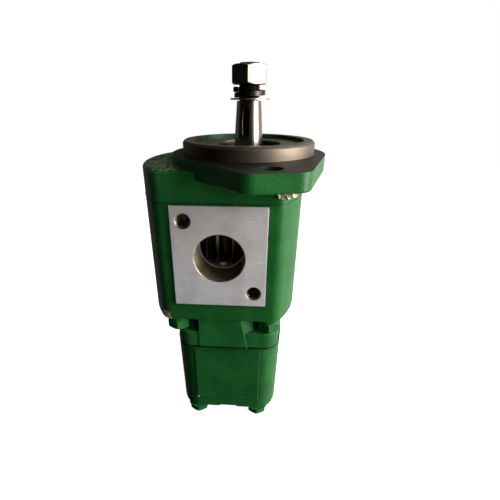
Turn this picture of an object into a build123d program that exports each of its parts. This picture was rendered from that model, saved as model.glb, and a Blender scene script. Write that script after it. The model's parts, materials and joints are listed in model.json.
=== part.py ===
"""Tandem hydraulic gear pump: two pairs of spur gears in cast housings, one behind the other on one drive line.

Millimetres. The origin is on the shaft axis, at the mounting face of the flange. +Z runs up the shaft, towards its
nut, and the suction port faces -Y. The driven gears lie on the -X side of the shaft.
"""

import os
from math import acos, cos, pi, radians, sin, sqrt, tan

from build123d import *

# Mounting flange and pilot (SAE J744 B, two bolts)
PILOT_R = 50.8
PILOT_HEIGHT = 9.5
PILOT_CHAMFER = 1.6
RECESS_R = 42.7
RECESS_DEPTH = 3.0
FLANGE_THICKNESS = 12.5
FLANGE_HUB_R = 59.2
FLANGE_END = 87.6
FLANGE_SLOPE = 28.5
FLANGE_CORNER_R = 11.0
FLANGE_BOLT_R = 73.0
FLANGE_HOLE_R = 7.15
FLANGE_TURN = 13.0

# Castings, by level
COVER_TOP = -6.0
COVER_JOINT = -28.3
BODY_FLOOR = -113.7
BODY_BOTTOM = -128.6
EAR_TOP = -141.8
REAR_JOINT = -157.6
REAR_FLOOR = -219.6
REAR_BOTTOM = -234.2
CAST_EDGE = 1.2

# Castings, in plan: half width across X, half depth across Y, half length of the flat front, corner radius
COVER_PLAN = (63.0, 50.0, 46.0, 10.0)
BODY_PLAN = (63.3, 48.4, 46.2, 10.0)
EAR_PLAN = (47.4, 46.0, 40.8, 12.0)
REAR_PLAN = (48.2, 42.5, 43.0, 18.0)
REAR_PLAN_X = -14.1
BODY_DRAFT = 0.4
REAR_DRAFT = 1.4
REAR_BOTTOM_ROUND = 1.2
REAR_SIDE_ROUND = 13.0
REAR_COLUMN_R = 11.5
REAR_BOTTOM_GROOVE = (-14.5, 16.0, 2.0)
PANEL_CENTRE_X = -14.75
PANEL_WIDTH = 57.5
PANEL_TOP = -163.6
PANEL_BOTTOM = -223.0
PANEL_RISE = 0.6
NECK_LEFT_X = -38.3
NECK_RIGHT_X = 5.0
NECK_FLARE = 4.6
NECK_HALF_DEPTH = 46.6
NECK_CUT_TOP = 13.0
NECK_CUT_BOTTOM = 2.0
NECK_CUT_DEPTH = 0.75
NECK_CORE_HALF_WIDTH = 42.0
NECK_CORE_HALF_DEPTH = 21.0

# Gears
TEETH = 12
PRESSURE_ANGLE = 25.0
TOOTH_THINNING = 0.09
FRONT_MODULE = 3.175
FRONT_WIDTH = 34.0
FRONT_JOURNAL_R = 12.5
FRONT_BUSH_R = 14.0
REAR_MODULE = 2.5
REAR_WIDTH = 22.0
REAR_JOURNAL_R = 9.0
REAR_BUSH_R = 10.3
END_FLOAT = 0.05
RUNNING_GAP = 0.03
BORE_GAP = 0.075
BLOCK_GAP = 0.05
FIT_GAP = 0.02

# Ports
INLET_R = 19.2
PORT_STEP_Y = 26.0
PORT_STEP = 0.6
PORT_COUNTERSINK = 0.6
INLET_PAD_WIDTH = 71.4
INLET_PAD_TOP = -30.2
INLET_PAD_BOTTOM = -111.5
INLET_PAD_Y = -50.2
INLET_BOLT_DX = 26.2
INLET_BOLT_DZ = 29.2
TAP_COUNTERSINK = 1.0
INLET_TAP_R = 5.1
INLET_TAP_DEPTH = 19.0
OUTLET_R = 12.7
OUTLET_PAD_WIDTH = 52.0
OUTLET_PAD_HEIGHT = 76.0
OUTLET_PAD_Y = 50.2
OUTLET_BOLT_DX = 13.1
OUTLET_BOLT_DZ = 26.2
OUTLET_TAP_R = 4.25
OUTLET_TAP_DEPTH = 18.0
REAR_PORT_R = 12.1
REAR_PORT_DEPTH = 17.0
REAR_PORT_BOSS_R = 21.0
REAR_PORT_BOSS_Y = 44.5
REAR_PORT_BORE_R = 8.0
SUCTION_LINK = (-19.05, -20.0)
SUCTION_LINK_R = 4.0

# Shaft end (22.2 mm, 1:8 taper, M16 x 1.5 thread)
SEAL_JOURNAL_TOP = 4.0
TAPER_LARGE_R = 11.1
TAPER_TOP = 36.5
TAPER_RATIO = 8.0
THREAD_R = 8.0
THREAD_PITCH = 1.5
THREAD_DEPTH = 0.92
SHAFT_TOP = 61.0
KEYWAY_WIDTH = 5.0
KEYWAY_FLOOR = 7.2
KEYWAY_BOTTOM = 12.0
KEYWAY_TOP = 32.0
KEYWAY_TURN = -11.0
NUT_BOTTOM = 47.0
NUT_HEIGHT = 13.0
NUT_FLATS = 24.0
NUT_TURN = -3.5
WASHER_R = 14.5
WASHER_HOLE_R = 8.7
WASHER_SHIFT_X = 0.6
WASHER_BOTTOM = 37.0
WASHER_THICKNESS = 1.3
SPRING_INNER_R = 8.4
SPRING_OUTER_R = 11.8
SPRING_THICKNESS = 3.2
SPRING_RISE = 4.1
SPRING_SPLIT = 205.0
SPRING_SWEEP = 348.0

# Shaft seal
SEAL_R = 25.0
SEAL_BOTTOM = -5.0
SEAL_HEIGHT = 8.0
SEAL_WALL = 2.2
SEAL_LIP_Z = 2.4
CIRCLIP_THICKNESS = 1.6
CIRCLIP_GROOVE_R = 26.4
SHAFT_CLEARANCE_R = 14.5

# Spline between the two stages
SPLINE_TEETH = 13
SPLINE_TIP_R = 8.8
SPLINE_ROOT_R = 7.5
SPLINE_GAP = 0.05
COUPLING_R = 13.5
COUPLING_TOP = -116.0
COUPLING_BOTTOM = -156.0
FRONT_SPLINE_END = -134.0
REAR_SPLINE_END = -138.0

# Fasteners and dowels
CHAMFER_CIRCLE = 0.96
FRONT_STUD_CENTRE_X = -17.5
FRONT_STUD_X = 38.4
FRONT_STUD_Y = 38.0
FRONT_STUD_R = 5.0
FRONT_STUD_TOP = -13.2
FRONT_STUD_END = 2.2
STUD_CHAMFER = 0.9
FRONT_NUT_FLATS = 17.5
FRONT_NUT_HEIGHT = 8.4
LOCK_WASHER_R = 9.0
LOCK_WASHER_THICKNESS = 2.6
LOCK_WASHER_SPLIT = 2.0
REAR_BOLT_X = 28.5
REAR_BOLT_Y = 33.0
REAR_BOLT_R = 5.0
REAR_BOLT_LENGTH = 87.0
REAR_BOLT_FLATS = 16.0
REAR_BOLT_HEAD = 6.4
REAR_WASHER_R = 10.0
REAR_WASHER_THICKNESS = 1.0
FRONT_DOWEL_R = 4.0
FRONT_DOWEL_LENGTH = 15.0
FRONT_DOWEL_X = 14.0
FRONT_DOWEL_Y = 38.0
REAR_DOWEL_R = 3.0
REAR_DOWEL_LENGTH = 12.0
REAR_DOWEL_X = 10.0
REAR_DOWEL_Y = 33.0

# Seals between castings and on the bearing blocks
JOINT_SEAL_WIDTH = 2.6
JOINT_SEAL_DEPTH = 2.1
FRONT_SEAL_R = 27.0
REAR_SEAL_R = 26.0
BLOCK_SEAL_WIDTH = 1.6
BLOCK_SEAL_DEPTH = 2.0

# Derived sizes
FRONT_SPACING = FRONT_MODULE * TEETH
REAR_SPACING = REAR_MODULE * TEETH
FRONT_CENTRE_X = -FRONT_SPACING / 2
REAR_CENTRE_X = -REAR_SPACING / 2
FRONT_BORE_R = FRONT_MODULE * (TEETH / 2 + 1) + BORE_GAP
REAR_BORE_R = REAR_MODULE * (TEETH / 2 + 1) + BORE_GAP
FRONT_MID = (COVER_JOINT + BODY_FLOOR) / 2
REAR_MID = (REAR_JOINT + REAR_FLOOR) / 2
TAPER_SMALL_R = TAPER_LARGE_R - (TAPER_TOP - SEAL_JOURNAL_TOP) / TAPER_RATIO / 2
WASHER_TOP = WASHER_BOTTOM + WASHER_THICKNESS


def cylinder(x, y, bottom, top, radius):
    """A round solid along Z between two levels."""
    return Pos(x, y, (bottom + top) / 2) * Cylinder(radius, top - bottom)


def cross_cylinder(x, z, y_from, y_to, radius):
    """A round solid along Y between two depths."""
    middle = (y_from + y_to) / 2
    return Pos(x, middle, z) * Rot(90, 0, 0) * Cylinder(radius, abs(y_to - y_from))


def countersink(x, z, face_y, radius, inwards, depth=TAP_COUNTERSINK):
    """A cone that breaks the edge of a hole in a face across Y; inwards is the sign of Y into the metal."""
    cone = Cone(radius + 2 * depth, radius - depth, 3 * depth)
    return Pos(x, face_y + inwards * depth / 2, z) * Rot(-90 * inwards, 0, 0) * cone


def block(x, y, bottom, top, width, depth):
    """A rectangular solid between two levels."""
    return Pos(x, y, (bottom + top) / 2) * Box(width, depth, top - bottom)


def corners(centre_x, dx, dy):
    """The four points at plus and minus dx and dy about a centre on the X axis."""
    return [(centre_x + sx * dx, sy * dy) for sx in (-1, 1) for sy in (-1, 1)]


def barrel(centre_x, plan):
    """Plan outline of a casting: flat front and back, bowed sides, rounded corners."""
    half_width, half_depth, flat, corner_r = plan
    outline = Polyline((-flat, -half_depth), (flat, -half_depth))
    outline += ThreePointArc((flat, -half_depth), (half_width, 0), (flat, half_depth))
    outline += Polyline((flat, half_depth), (-flat, half_depth))
    outline += ThreePointArc((-flat, half_depth), (-half_width, 0), (-flat, -half_depth))
    face = make_face(outline)
    return Pos(centre_x, 0, 0) * fillet(face.vertices(), corner_r)


def tapered(centre_x, plan, top, bottom, draft):
    """A casting's block between two levels, narrower at the lower one by its draft."""
    shrink = (top - bottom) * tan(radians(draft))
    half_width, half_depth, flat, corner_r = plan
    foot = (half_width - shrink, half_depth - shrink, flat - shrink, corner_r)
    return loft([Pos(0, 0, bottom) * barrel(centre_x, foot), Pos(0, 0, top) * barrel(centre_x, plan)])


def figure_eight(spacing, radius):
    """Two equal discs about the drive axis and the driven axis."""
    return Circle(radius) + Pos(-spacing, 0) * Circle(radius)


def slot_ring(spacing, radius, width):
    """A closed seal track round both gear axes."""
    track = Pos(-spacing / 2, 0)
    outer = track * SlotCenterToCenter(spacing, 2 * (radius + width / 2))
    return outer - track * SlotCenterToCenter(spacing, 2 * (radius - width / 2))


def prism(sketch, bottom, top):
    """A sketch extruded between two levels."""
    return extrude(Pos(0, 0, bottom) * sketch, top - bottom)


def hexagon(flats, turn=0.0):
    """A hexagon with a corner towards -Y, turned about Z."""
    return Rot(0, 0, turn) * RegularPolygon(flats / sqrt(3), 6, rotation=30)


def hex_body(flats, bottom, top, both_ends, turn=0.0):
    """A hexagonal prism whose corners are turned off at 30 degrees, below or at both ends."""
    across_corners = flats / sqrt(3)
    flat_r = flats / 2 * CHAMFER_CIRCLE
    drop = (across_corners - flat_r) * tan(radians(30))
    upper_r = flat_r if both_ends else across_corners
    upper_drop = drop if both_ends else 0.0
    profile = Polyline(
        (0, bottom),
        (flat_r, bottom),
        (across_corners, bottom + drop),
        (across_corners, top - upper_drop - 1e-3),
        (upper_r, top),
        (0, top),
        close=True,
    )
    return prism(hexagon(flats, turn), bottom, top) & revolve(Plane.XZ * make_face(profile), Axis.Z)


def hex_bolt(x, y, seat, radius, length, flats, head):
    """A hexagon bolt whose head hangs below its seat, its shank running up."""
    shank = chamfer(cylinder(x, y, seat, seat + length, radius).faces().sort_by(Axis.Z)[-1].edges(), 1.0)
    return Pos(x, y, 0) * hex_body(flats, seat - head, seat, False) + shank


def involute_flank(base_r, tip_r, offset, steps=6):
    """Points of one tooth flank, from the base circle to the tip; offset is its angle at the base circle."""
    points = []
    for step in range(steps + 1):
        radius = base_r + (tip_r - base_r) * step / steps
        roll = acos(base_r / radius)
        angle = offset - (tan(roll) - roll)
        points.append((radius * cos(angle), radius * sin(angle)))
    return points


def gear_sketch(module, turn):
    """Outline of a spur gear with a tooth centred at the angle turn, in degrees."""
    pitch_r = module * TEETH / 2
    base_r = pitch_r * cos(radians(PRESSURE_ANGLE))
    tip_r = pitch_r + module
    root_r = pitch_r - 1.25 * module
    roll = radians(PRESSURE_ANGLE)
    half_tooth = (pi * module / 2 - TOOTH_THINNING) / (2 * pitch_r)
    offset = half_tooth + tan(roll) - roll
    upper = involute_flank(base_r, tip_r, offset)
    lower = [(x, -y) for x, y in upper]
    root_half = offset + 0.03
    root_upper = (root_r * cos(root_half), root_r * sin(root_half))
    root_lower = (root_upper[0], -root_upper[1])
    inside = root_r - 1.0
    inner_upper = (inside * cos(root_half), inside * sin(root_half))
    inner_lower = (inner_upper[0], -inner_upper[1])
    outline = Spline(*lower)
    outline += ThreePointArc(lower[-1], (tip_r, 0), upper[-1])
    outline += Spline(*reversed(upper))
    outline += Polyline(upper[0], root_upper, inner_upper, inner_lower, root_lower, lower[0])
    tooth = make_face(outline)
    gear = Circle(root_r)
    for index in range(TEETH):
        gear += Rot(0, 0, turn + 360 / TEETH * index) * tooth
    return gear


def spline_sketch(gap):
    """A coarse involute-like spline, grown by gap all round."""
    pitch = 2 * pi / SPLINE_TEETH
    points = []
    for index in range(SPLINE_TEETH):
        for radius, share in ((SPLINE_ROOT_R, -0.32), (SPLINE_TIP_R, -0.17), (SPLINE_TIP_R, 0.17), (SPLINE_ROOT_R, 0.32)):
            angle = pitch * (index + share)
            points.append(((radius + gap) * cos(angle), (radius + gap) * sin(angle)))
    face = make_face(Polyline(*points, close=True))
    return face


def front_cover():
    """Flange, pilot and seal housing in one casting."""
    block_solid = prism(barrel(FRONT_CENTRE_X, COVER_PLAN), COVER_JOINT, COVER_TOP)
    block_solid = fillet(block_solid.faces().sort_by(Axis.Z)[-1].edges(), 2.5)
    slope = radians(90 - FLANGE_SLOPE)
    end_half = (FLANGE_HUB_R - FLANGE_END * cos(slope)) / sin(slope)
    shoulder = (FLANGE_HUB_R * cos(slope), FLANGE_HUB_R * sin(slope))
    quarter = [(FLANGE_END, end_half), shoulder]
    ring = quarter + [(-x, y) for x, y in reversed(quarter)]
    ring += [(-x, -y) for x, y in quarter] + [(x, -y) for x, y in reversed(quarter)]
    lobes = make_face(Polyline(*ring, close=True))
    ends = lobes.vertices().filter_by(lambda vertex: abs(vertex.X) > FLANGE_END - 1)
    outline = fillet(ends, FLANGE_CORNER_R) + Circle(FLANGE_HUB_R)
    outline = Rot(0, 0, FLANGE_TURN - 90) * outline
    flange = prism(outline, -FLANGE_THICKNESS, 0)
    flange = fillet(flange.faces().sort_by(Axis.Z)[0].edges(), 1.5)
    pilot = cylinder(0, 0, -1, PILOT_HEIGHT, PILOT_R)
    pilot = chamfer(pilot.faces().sort_by(Axis.Z)[-1].edges(), PILOT_CHAMFER)
    cover = block_solid + flange + pilot
    recess_floor = PILOT_HEIGHT - RECESS_DEPTH
    cover -= cylinder(0, 0, recess_floor, PILOT_HEIGHT + 1, RECESS_R)
    cover -= cylinder(0, 0, SEAL_BOTTOM, PILOT_HEIGHT, SEAL_R)
    groove = SEAL_BOTTOM + SEAL_HEIGHT
    cover -= cylinder(0, 0, groove, groove + CIRCLIP_THICKNESS, CIRCLIP_GROOVE_R)
    cover -= cylinder(0, 0, COVER_JOINT - 1, 0, SHAFT_CLEARANCE_R)
    lobe = radians(FLANGE_TURN - 90)
    for side in (-1, 1):
        hole_x = side * FLANGE_BOLT_R * cos(lobe)
        hole_y = side * FLANGE_BOLT_R * sin(lobe)
        cover -= cylinder(hole_x, hole_y, COVER_JOINT, 1, FLANGE_HOLE_R)
    for x, y in corners(FRONT_STUD_CENTRE_X, FRONT_STUD_X, FRONT_STUD_Y):
        cover -= cylinder(x, y, COVER_JOINT - 1, FRONT_STUD_TOP + 1, FRONT_STUD_R + FIT_GAP)
    for x, y in dowel_places(FRONT_CENTRE_X, FRONT_DOWEL_X, FRONT_DOWEL_Y):
        half = FRONT_DOWEL_LENGTH / 2 + 0.5
        cover -= cylinder(x, y, COVER_JOINT - 1, COVER_JOINT + half, FRONT_DOWEL_R)
    return cover


def dowel_places(centre_x, dx, dy):
    """Two dowels on a diagonal."""
    return [(centre_x + dx, dy), (centre_x - dx, -dy)]


def neck():
    """The waist between the stages: it flares upwards on +X, where its corners are cut away more and more."""
    section = Polyline(
        (NECK_LEFT_X, REAR_JOINT),
        (NECK_RIGHT_X, REAR_JOINT),
        (NECK_RIGHT_X + NECK_FLARE, BODY_BOTTOM + 1),
        (NECK_LEFT_X, BODY_BOTTOM + 1),
        close=True,
    )
    waist = extrude(Plane.XZ * make_face(section), NECK_HALF_DEPTH, both=True)
    for end in (-1, 1):
        face_y = end * NECK_HALF_DEPTH
        levels = (
            (REAR_JOINT - 1, NECK_RIGHT_X, NECK_CUT_BOTTOM),
            (BODY_BOTTOM + 2, NECK_RIGHT_X + NECK_FLARE, NECK_CUT_TOP),
        )
        sections = []
        for level, side, cut in levels:
            triangle = Polyline(
                (side - cut, face_y + 0.01 * end),
                (side + 1, face_y - end * (cut + 1) * NECK_CUT_DEPTH),
                (side + 1, face_y + end),
                (side - cut, face_y + end),
                close=True,
            )
            sections.append(Pos(0, 0, level) * make_face(triangle))
        waist -= loft(sections, ruled=True)
    core = block(
        FRONT_CENTRE_X, 0, REAR_JOINT, BODY_BOTTOM + 1, 2 * NECK_CORE_HALF_WIDTH, 2 * NECK_CORE_HALF_DEPTH
    )
    return waist + core


def front_body():
    """Housing of the first gear pair, with the waist and the ears for the second housing cast on."""
    outline = Pos(0, 0, COVER_JOINT) * barrel(FRONT_CENTRE_X, BODY_PLAN)
    barrel_solid = extrude(outline, COVER_JOINT - BODY_BOTTOM, dir=(0, 0, -1), taper=BODY_DRAFT)
    barrel_solid = fillet(barrel_solid.faces().sort_by(Axis.Z)[0].edges(), CAST_EDGE)
    ears = prism(barrel(REAR_PLAN_X, EAR_PLAN), REAR_JOINT, EAR_TOP)
    ears = fillet(ears.faces().sort_by(Axis.Z)[-1].edges(), CAST_EDGE)
    pad_middle = (INLET_PAD_TOP + INLET_PAD_BOTTOM) / 2
    pad_height = INLET_PAD_TOP - INLET_PAD_BOTTOM
    inlet_pad = Pos(FRONT_CENTRE_X, INLET_PAD_Y / 2, pad_middle) * Box(INLET_PAD_WIDTH, -INLET_PAD_Y, pad_height)
    outlet_pad = Pos(FRONT_CENTRE_X, OUTLET_PAD_Y / 2, FRONT_MID) * Box(
        OUTLET_PAD_WIDTH, OUTLET_PAD_Y, OUTLET_PAD_HEIGHT
    )
    body = barrel_solid + neck() + ears + inlet_pad + outlet_pad
    body -= prism(figure_eight(FRONT_SPACING, FRONT_BORE_R), BODY_FLOOR, COVER_JOINT + 1)
    body -= cylinder(0, 0, REAR_JOINT - 1, BODY_FLOOR + 1, SHAFT_CLEARANCE_R)
    for end, face_y, radius in ((-1, INLET_PAD_Y, INLET_R), (1, OUTLET_PAD_Y, OUTLET_R)):
        body -= cross_cylinder(FRONT_CENTRE_X, FRONT_MID, face_y + end, end * PORT_STEP_Y, radius)
        body -= cross_cylinder(FRONT_CENTRE_X, FRONT_MID, face_y, 0, radius - PORT_STEP)
        body -= countersink(FRONT_CENTRE_X, FRONT_MID, face_y, radius, -end, PORT_COUNTERSINK)
    body -= cylinder(*SUCTION_LINK, REAR_JOINT - 1, FRONT_MID, SUCTION_LINK_R)
    for side in (-1, 1):
        x = FRONT_CENTRE_X + side * INLET_BOLT_DX
        z = FRONT_MID - side * INLET_BOLT_DZ
        body -= cross_cylinder(x, z, INLET_PAD_Y - 1, INLET_PAD_Y + INLET_TAP_DEPTH, INLET_TAP_R)
        body -= countersink(x, z, INLET_PAD_Y, INLET_TAP_R, 1)
        for level in (-1, 1):
            tap_x = FRONT_CENTRE_X + side * OUTLET_BOLT_DX
            tap_z = FRONT_MID + level * OUTLET_BOLT_DZ
            body -= cross_cylinder(tap_x, tap_z, OUTLET_PAD_Y - OUTLET_TAP_DEPTH, OUTLET_PAD_Y + 1, OUTLET_TAP_R)
            body -= countersink(tap_x, tap_z, OUTLET_PAD_Y, OUTLET_TAP_R, -1)
    for x, y in corners(FRONT_STUD_CENTRE_X, FRONT_STUD_X, FRONT_STUD_Y):
        body -= cylinder(x, y, BODY_BOTTOM - 1, COVER_JOINT + 1, FRONT_STUD_R + 0.2)
    for x, y in corners(REAR_CENTRE_X, REAR_BOLT_X, REAR_BOLT_Y):
        top = REAR_BOTTOM + REAR_BOLT_LENGTH + 1
        body -= cylinder(x, y, REAR_JOINT - 1, top, REAR_BOLT_R + FIT_GAP)
    for x, y in dowel_places(FRONT_CENTRE_X, FRONT_DOWEL_X, FRONT_DOWEL_Y):
        half = FRONT_DOWEL_LENGTH / 2 + 0.5
        body -= cylinder(x, y, COVER_JOINT - half, COVER_JOINT + 1, FRONT_DOWEL_R)
    for x, y in dowel_places(REAR_CENTRE_X, REAR_DOWEL_X, REAR_DOWEL_Y):
        half = REAR_DOWEL_LENGTH / 2 + 0.5
        body -= cylinder(x, y, REAR_JOINT - 1, REAR_JOINT + half, REAR_DOWEL_R)
    groove = slot_ring(FRONT_SPACING, FRONT_SEAL_R, JOINT_SEAL_WIDTH)
    body -= prism(groove, COVER_JOINT - JOINT_SEAL_DEPTH, COVER_JOINT + 1)
    return body


def raised_faces():
    """A slab whose two ends stand a little proud of the second housing's drafted front and back."""
    sections = []
    for level in (PANEL_BOTTOM, PANEL_TOP):
        half_depth = REAR_PLAN[1] + PANEL_RISE - (REAR_JOINT - level) * tan(radians(REAR_DRAFT))
        sections.append(Pos(PANEL_CENTRE_X, 0, level) * Rectangle(PANEL_WIDTH, 2 * half_depth))
    return loft(sections, ruled=True)


def rear_body():
    """Cup-shaped housing of the second gear pair, closed below, with a shallow groove across its foot."""
    body = tapered(REAR_PLAN_X, REAR_PLAN, REAR_JOINT, REAR_BOTTOM, REAR_DRAFT)
    body = fillet(body.faces().sort_by(Axis.Z)[0].edges(), REAR_BOTTOM_ROUND)
    columns = group(
        cylinder(x, y, REAR_BOTTOM, REAR_JOINT, REAR_COLUMN_R)
        for x, y in corners(REAR_CENTRE_X, REAR_BOLT_X, REAR_BOLT_Y)
    )
    bowl = RectangleRounded(2 * REAR_PLAN[0], 2 * (REAR_JOINT - REAR_BOTTOM), REAR_SIDE_ROUND)
    belly = extrude(Plane.XZ * Pos(REAR_PLAN_X, REAR_JOINT) * bowl, REAR_PLAN[1], both=True)
    body = (body & belly) + (body & columns) + raised_faces()
    port_boss = cross_cylinder(REAR_CENTRE_X, REAR_MID, 30, REAR_PORT_BOSS_Y, REAR_PORT_BOSS_R)
    body += port_boss
    groove_x, groove_width, groove_depth = REAR_BOTTOM_GROOVE
    body -= block(groove_x, 0, REAR_BOTTOM - 1, REAR_BOTTOM + groove_depth, groove_width, 2 * REAR_PLAN[1] + 2)
    body -= prism(figure_eight(REAR_SPACING, REAR_BORE_R), REAR_FLOOR, REAR_JOINT + 1)
    body -= cross_cylinder(REAR_CENTRE_X, REAR_MID, REAR_PORT_BOSS_Y + 1, 0, REAR_PORT_BORE_R)
    port_floor = REAR_PORT_BOSS_Y - REAR_PORT_DEPTH
    body -= cross_cylinder(REAR_CENTRE_X, REAR_MID, port_floor, REAR_PORT_BOSS_Y + 1, REAR_PORT_R)
    link_x, link_y = SUCTION_LINK
    body -= cylinder(link_x, link_y, REAR_MID - SUCTION_LINK_R, REAR_JOINT + 1, SUCTION_LINK_R)
    body -= cross_cylinder(link_x, REAR_MID, link_y, -8, SUCTION_LINK_R - 0.5)
    for x, y in corners(REAR_CENTRE_X, REAR_BOLT_X, REAR_BOLT_Y):
        body -= cylinder(x, y, REAR_BOTTOM - 1, REAR_JOINT + 1, REAR_BOLT_R + 0.2)
    for x, y in dowel_places(REAR_CENTRE_X, REAR_DOWEL_X, REAR_DOWEL_Y):
        half = REAR_DOWEL_LENGTH / 2 + 0.5
        body -= cylinder(x, y, REAR_JOINT - half, REAR_JOINT + 1, REAR_DOWEL_R)
    groove = slot_ring(REAR_SPACING, REAR_SEAL_R, JOINT_SEAL_WIDTH)
    body -= prism(groove, REAR_JOINT - JOINT_SEAL_DEPTH, REAR_JOINT + 1)
    return body


def threaded_end():
    """Profile points of the shaft's thread, as rings of the thread's own pitch and depth."""
    points = [(THREAD_R - THREAD_DEPTH, TAPER_TOP)]
    level = TAPER_TOP + THREAD_PITCH
    while level < SHAFT_TOP - THREAD_PITCH:
        points.append((THREAD_R, level))
        points.append((THREAD_R - THREAD_DEPTH, level + THREAD_PITCH / 2))
        level += THREAD_PITCH
    return points + [(THREAD_R - THREAD_DEPTH, SHAFT_TOP), (0, SHAFT_TOP)]


def drive_gear_shaft():
    """Input shaft in one piece with its gear: spline end, journals, gear, seal journal, taper and thread."""
    gear_low = FRONT_MID - FRONT_WIDTH / 2
    outline = [
        (0, BODY_FLOOR),
        (FRONT_JOURNAL_R, BODY_FLOOR),
        (FRONT_JOURNAL_R, SEAL_JOURNAL_TOP),
        (TAPER_LARGE_R, SEAL_JOURNAL_TOP),
        (TAPER_SMALL_R, TAPER_TOP),
    ]
    profile = make_face(Polyline(*outline, *threaded_end(), close=True))
    shaft = revolve(Plane.XZ * profile, Axis.Z)
    shaft += prism(gear_sketch(FRONT_MODULE, 0), gear_low, gear_low + FRONT_WIDTH)
    shaft += prism(spline_sketch(0), FRONT_SPLINE_END, BODY_FLOOR + 1)
    length = KEYWAY_TOP - KEYWAY_BOTTOM
    slot = Plane.XZ * Pos(0, (KEYWAY_BOTTOM + KEYWAY_TOP) / 2) * SlotOverall(length, KEYWAY_WIDTH, rotation=90)
    keyway = Pos(0, -KEYWAY_FLOOR, 0) * extrude(slot, 8)
    return shaft - Rot(0, 0, KEYWAY_TURN) * keyway


def gear_shaft(module, width, journal_r, middle, bottom, top, turn):
    """A plain gear and its two journals in one piece, on the Z axis."""
    journal = cylinder(0, 0, bottom, top, journal_r)
    journal = chamfer(journal.edges().filter_by(GeomType.CIRCLE), 0.8)
    return journal + prism(gear_sketch(module, turn), middle - width / 2, middle + width / 2)


def driven_gear_shaft():
    """Driven gear of the first stage, its tooth space facing the drive gear's tooth."""
    gap_turn = 180 / TEETH
    gear = gear_shaft(
        FRONT_MODULE, FRONT_WIDTH, FRONT_JOURNAL_R, FRONT_MID, BODY_FLOOR + 1, COVER_JOINT - 1, gap_turn
    )
    return Pos(-FRONT_SPACING, 0, 0) * gear


def rear_drive_gear_shaft():
    """Drive gear of the second stage, with the spline that enters the coupling."""
    gear = gear_shaft(REAR_MODULE, REAR_WIDTH, REAR_JOURNAL_R, REAR_MID, REAR_FLOOR + 1, REAR_JOINT, 0)
    return gear + prism(spline_sketch(0), REAR_JOINT - 1, REAR_SPLINE_END)


def rear_driven_gear_shaft():
    """Driven gear of the second stage."""
    gap_turn = 180 / TEETH
    gear = gear_shaft(REAR_MODULE, REAR_WIDTH, REAR_JOURNAL_R, REAR_MID, REAR_FLOOR + 1, REAR_JOINT - 1, gap_turn)
    return Pos(-REAR_SPACING, 0, 0) * gear


def spline_coupling():
    """Sleeve that joins the two drive shafts."""
    sleeve = cylinder(0, 0, COUPLING_BOTTOM, COUPLING_TOP, COUPLING_R)
    sleeve = chamfer(sleeve.edges().filter_by(GeomType.CIRCLE), 1.0)
    return sleeve - prism(spline_sketch(SPLINE_GAP), COUPLING_BOTTOM - 1, COUPLING_TOP + 1)


def bearing_block(spacing, bore_r, bush_r, inner, outer):
    """A one-piece bearing block for both gears; inner is its face on the gears, outer the sealed one."""
    low, high = sorted((inner, outer))
    solid = prism(figure_eight(spacing, bore_r - BLOCK_GAP), low, high)
    for x in (0, -spacing):
        solid -= cylinder(x, 0, low - 1, high + 1, bush_r)
    away = 1 if outer > inner else -1
    relief = block(-spacing / 2, 0, min(inner, inner + away * 2.5), max(inner, inner + away * 2.5), 5, spacing * 0.7)
    web = block(-spacing / 2, 0, low, high, 6, spacing * 0.3)
    solid -= relief - web
    seal_low, seal_high = sorted((outer, outer - away * BLOCK_SEAL_DEPTH))
    return solid - prism(pressure_seal_sketch(spacing, bush_r), seal_low, seal_high)


def pressure_seal_sketch(spacing, bush_r):
    """A three-shaped seal track round both bushes, open towards the suction side."""
    middle_r = bush_r + BLOCK_SEAL_WIDTH * 1.6
    outer = figure_eight(spacing, middle_r + BLOCK_SEAL_WIDTH / 2)
    inner = figure_eight(spacing, middle_r - BLOCK_SEAL_WIDTH / 2)
    opening = Pos(-spacing / 2, -middle_r) * Rectangle(4 * spacing, middle_r * 1.1)
    return outer - inner - opening


def pressure_seal(spacing, bush_r, outer, away):
    """The rubber in a bearing block's seal track, flush with the casting that the block faces."""
    seat = outer + away * END_FLOAT
    low, high = sorted((seat, outer - away * BLOCK_SEAL_DEPTH))
    return prism(pressure_seal_sketch(spacing, bush_r), low, high)


def bush(x, journal_r, bush_r, low, high):
    """A plain bearing bush."""
    ring = cylinder(x, 0, low, high, bush_r - FIT_GAP)
    return ring - cylinder(x, 0, low - 1, high + 1, journal_r + RUNNING_GAP)


def shaft_nut():
    """Hexagon nut at the shaft's end."""
    nut = hex_body(NUT_FLATS, NUT_BOTTOM, NUT_BOTTOM + NUT_HEIGHT, True, NUT_TURN)
    hole = cylinder(0, 0, NUT_BOTTOM - 1, NUT_BOTTOM + NUT_HEIGHT + 1, THREAD_R + FIT_GAP)
    nut -= hole
    rims = nut.edges().filter_by(GeomType.CIRCLE).filter_by(lambda edge: abs(edge.radius - THREAD_R - FIT_GAP) < 0.01)
    return chamfer(rims, 0.8)


def flat_washer():
    """Thin washer on the shoulder of the taper, lying a little off centre."""
    top = WASHER_BOTTOM + WASHER_THICKNESS
    washer = cylinder(WASHER_SHIFT_X, 0, WASHER_BOTTOM, top, WASHER_R)
    return washer - cylinder(WASHER_SHIFT_X, 0, WASHER_BOTTOM - 1, top + 1, WASHER_HOLE_R)


def spring_washer():
    """Split lock washer, unloaded, so its two ends stand one above the other."""
    middle_r = (SPRING_INNER_R + SPRING_OUTER_R) / 2
    width = SPRING_OUTER_R - SPRING_INNER_R
    turns = SPRING_SWEEP / 360
    path = Helix(pitch=SPRING_RISE / turns, height=SPRING_RISE, radius=middle_r)
    section = Plane(origin=path @ 0, x_dir=(1, 0, 0), z_dir=(0, 1, 0)) * Rectangle(width, SPRING_THICKNESS)
    ring = sweep(section, path=path, is_frenet=True)
    lift = WASHER_TOP + SPRING_THICKNESS / 2 + 0.15
    return Pos(0, 0, lift) * Rot(0, 0, SPRING_SPLIT) * ring


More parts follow.
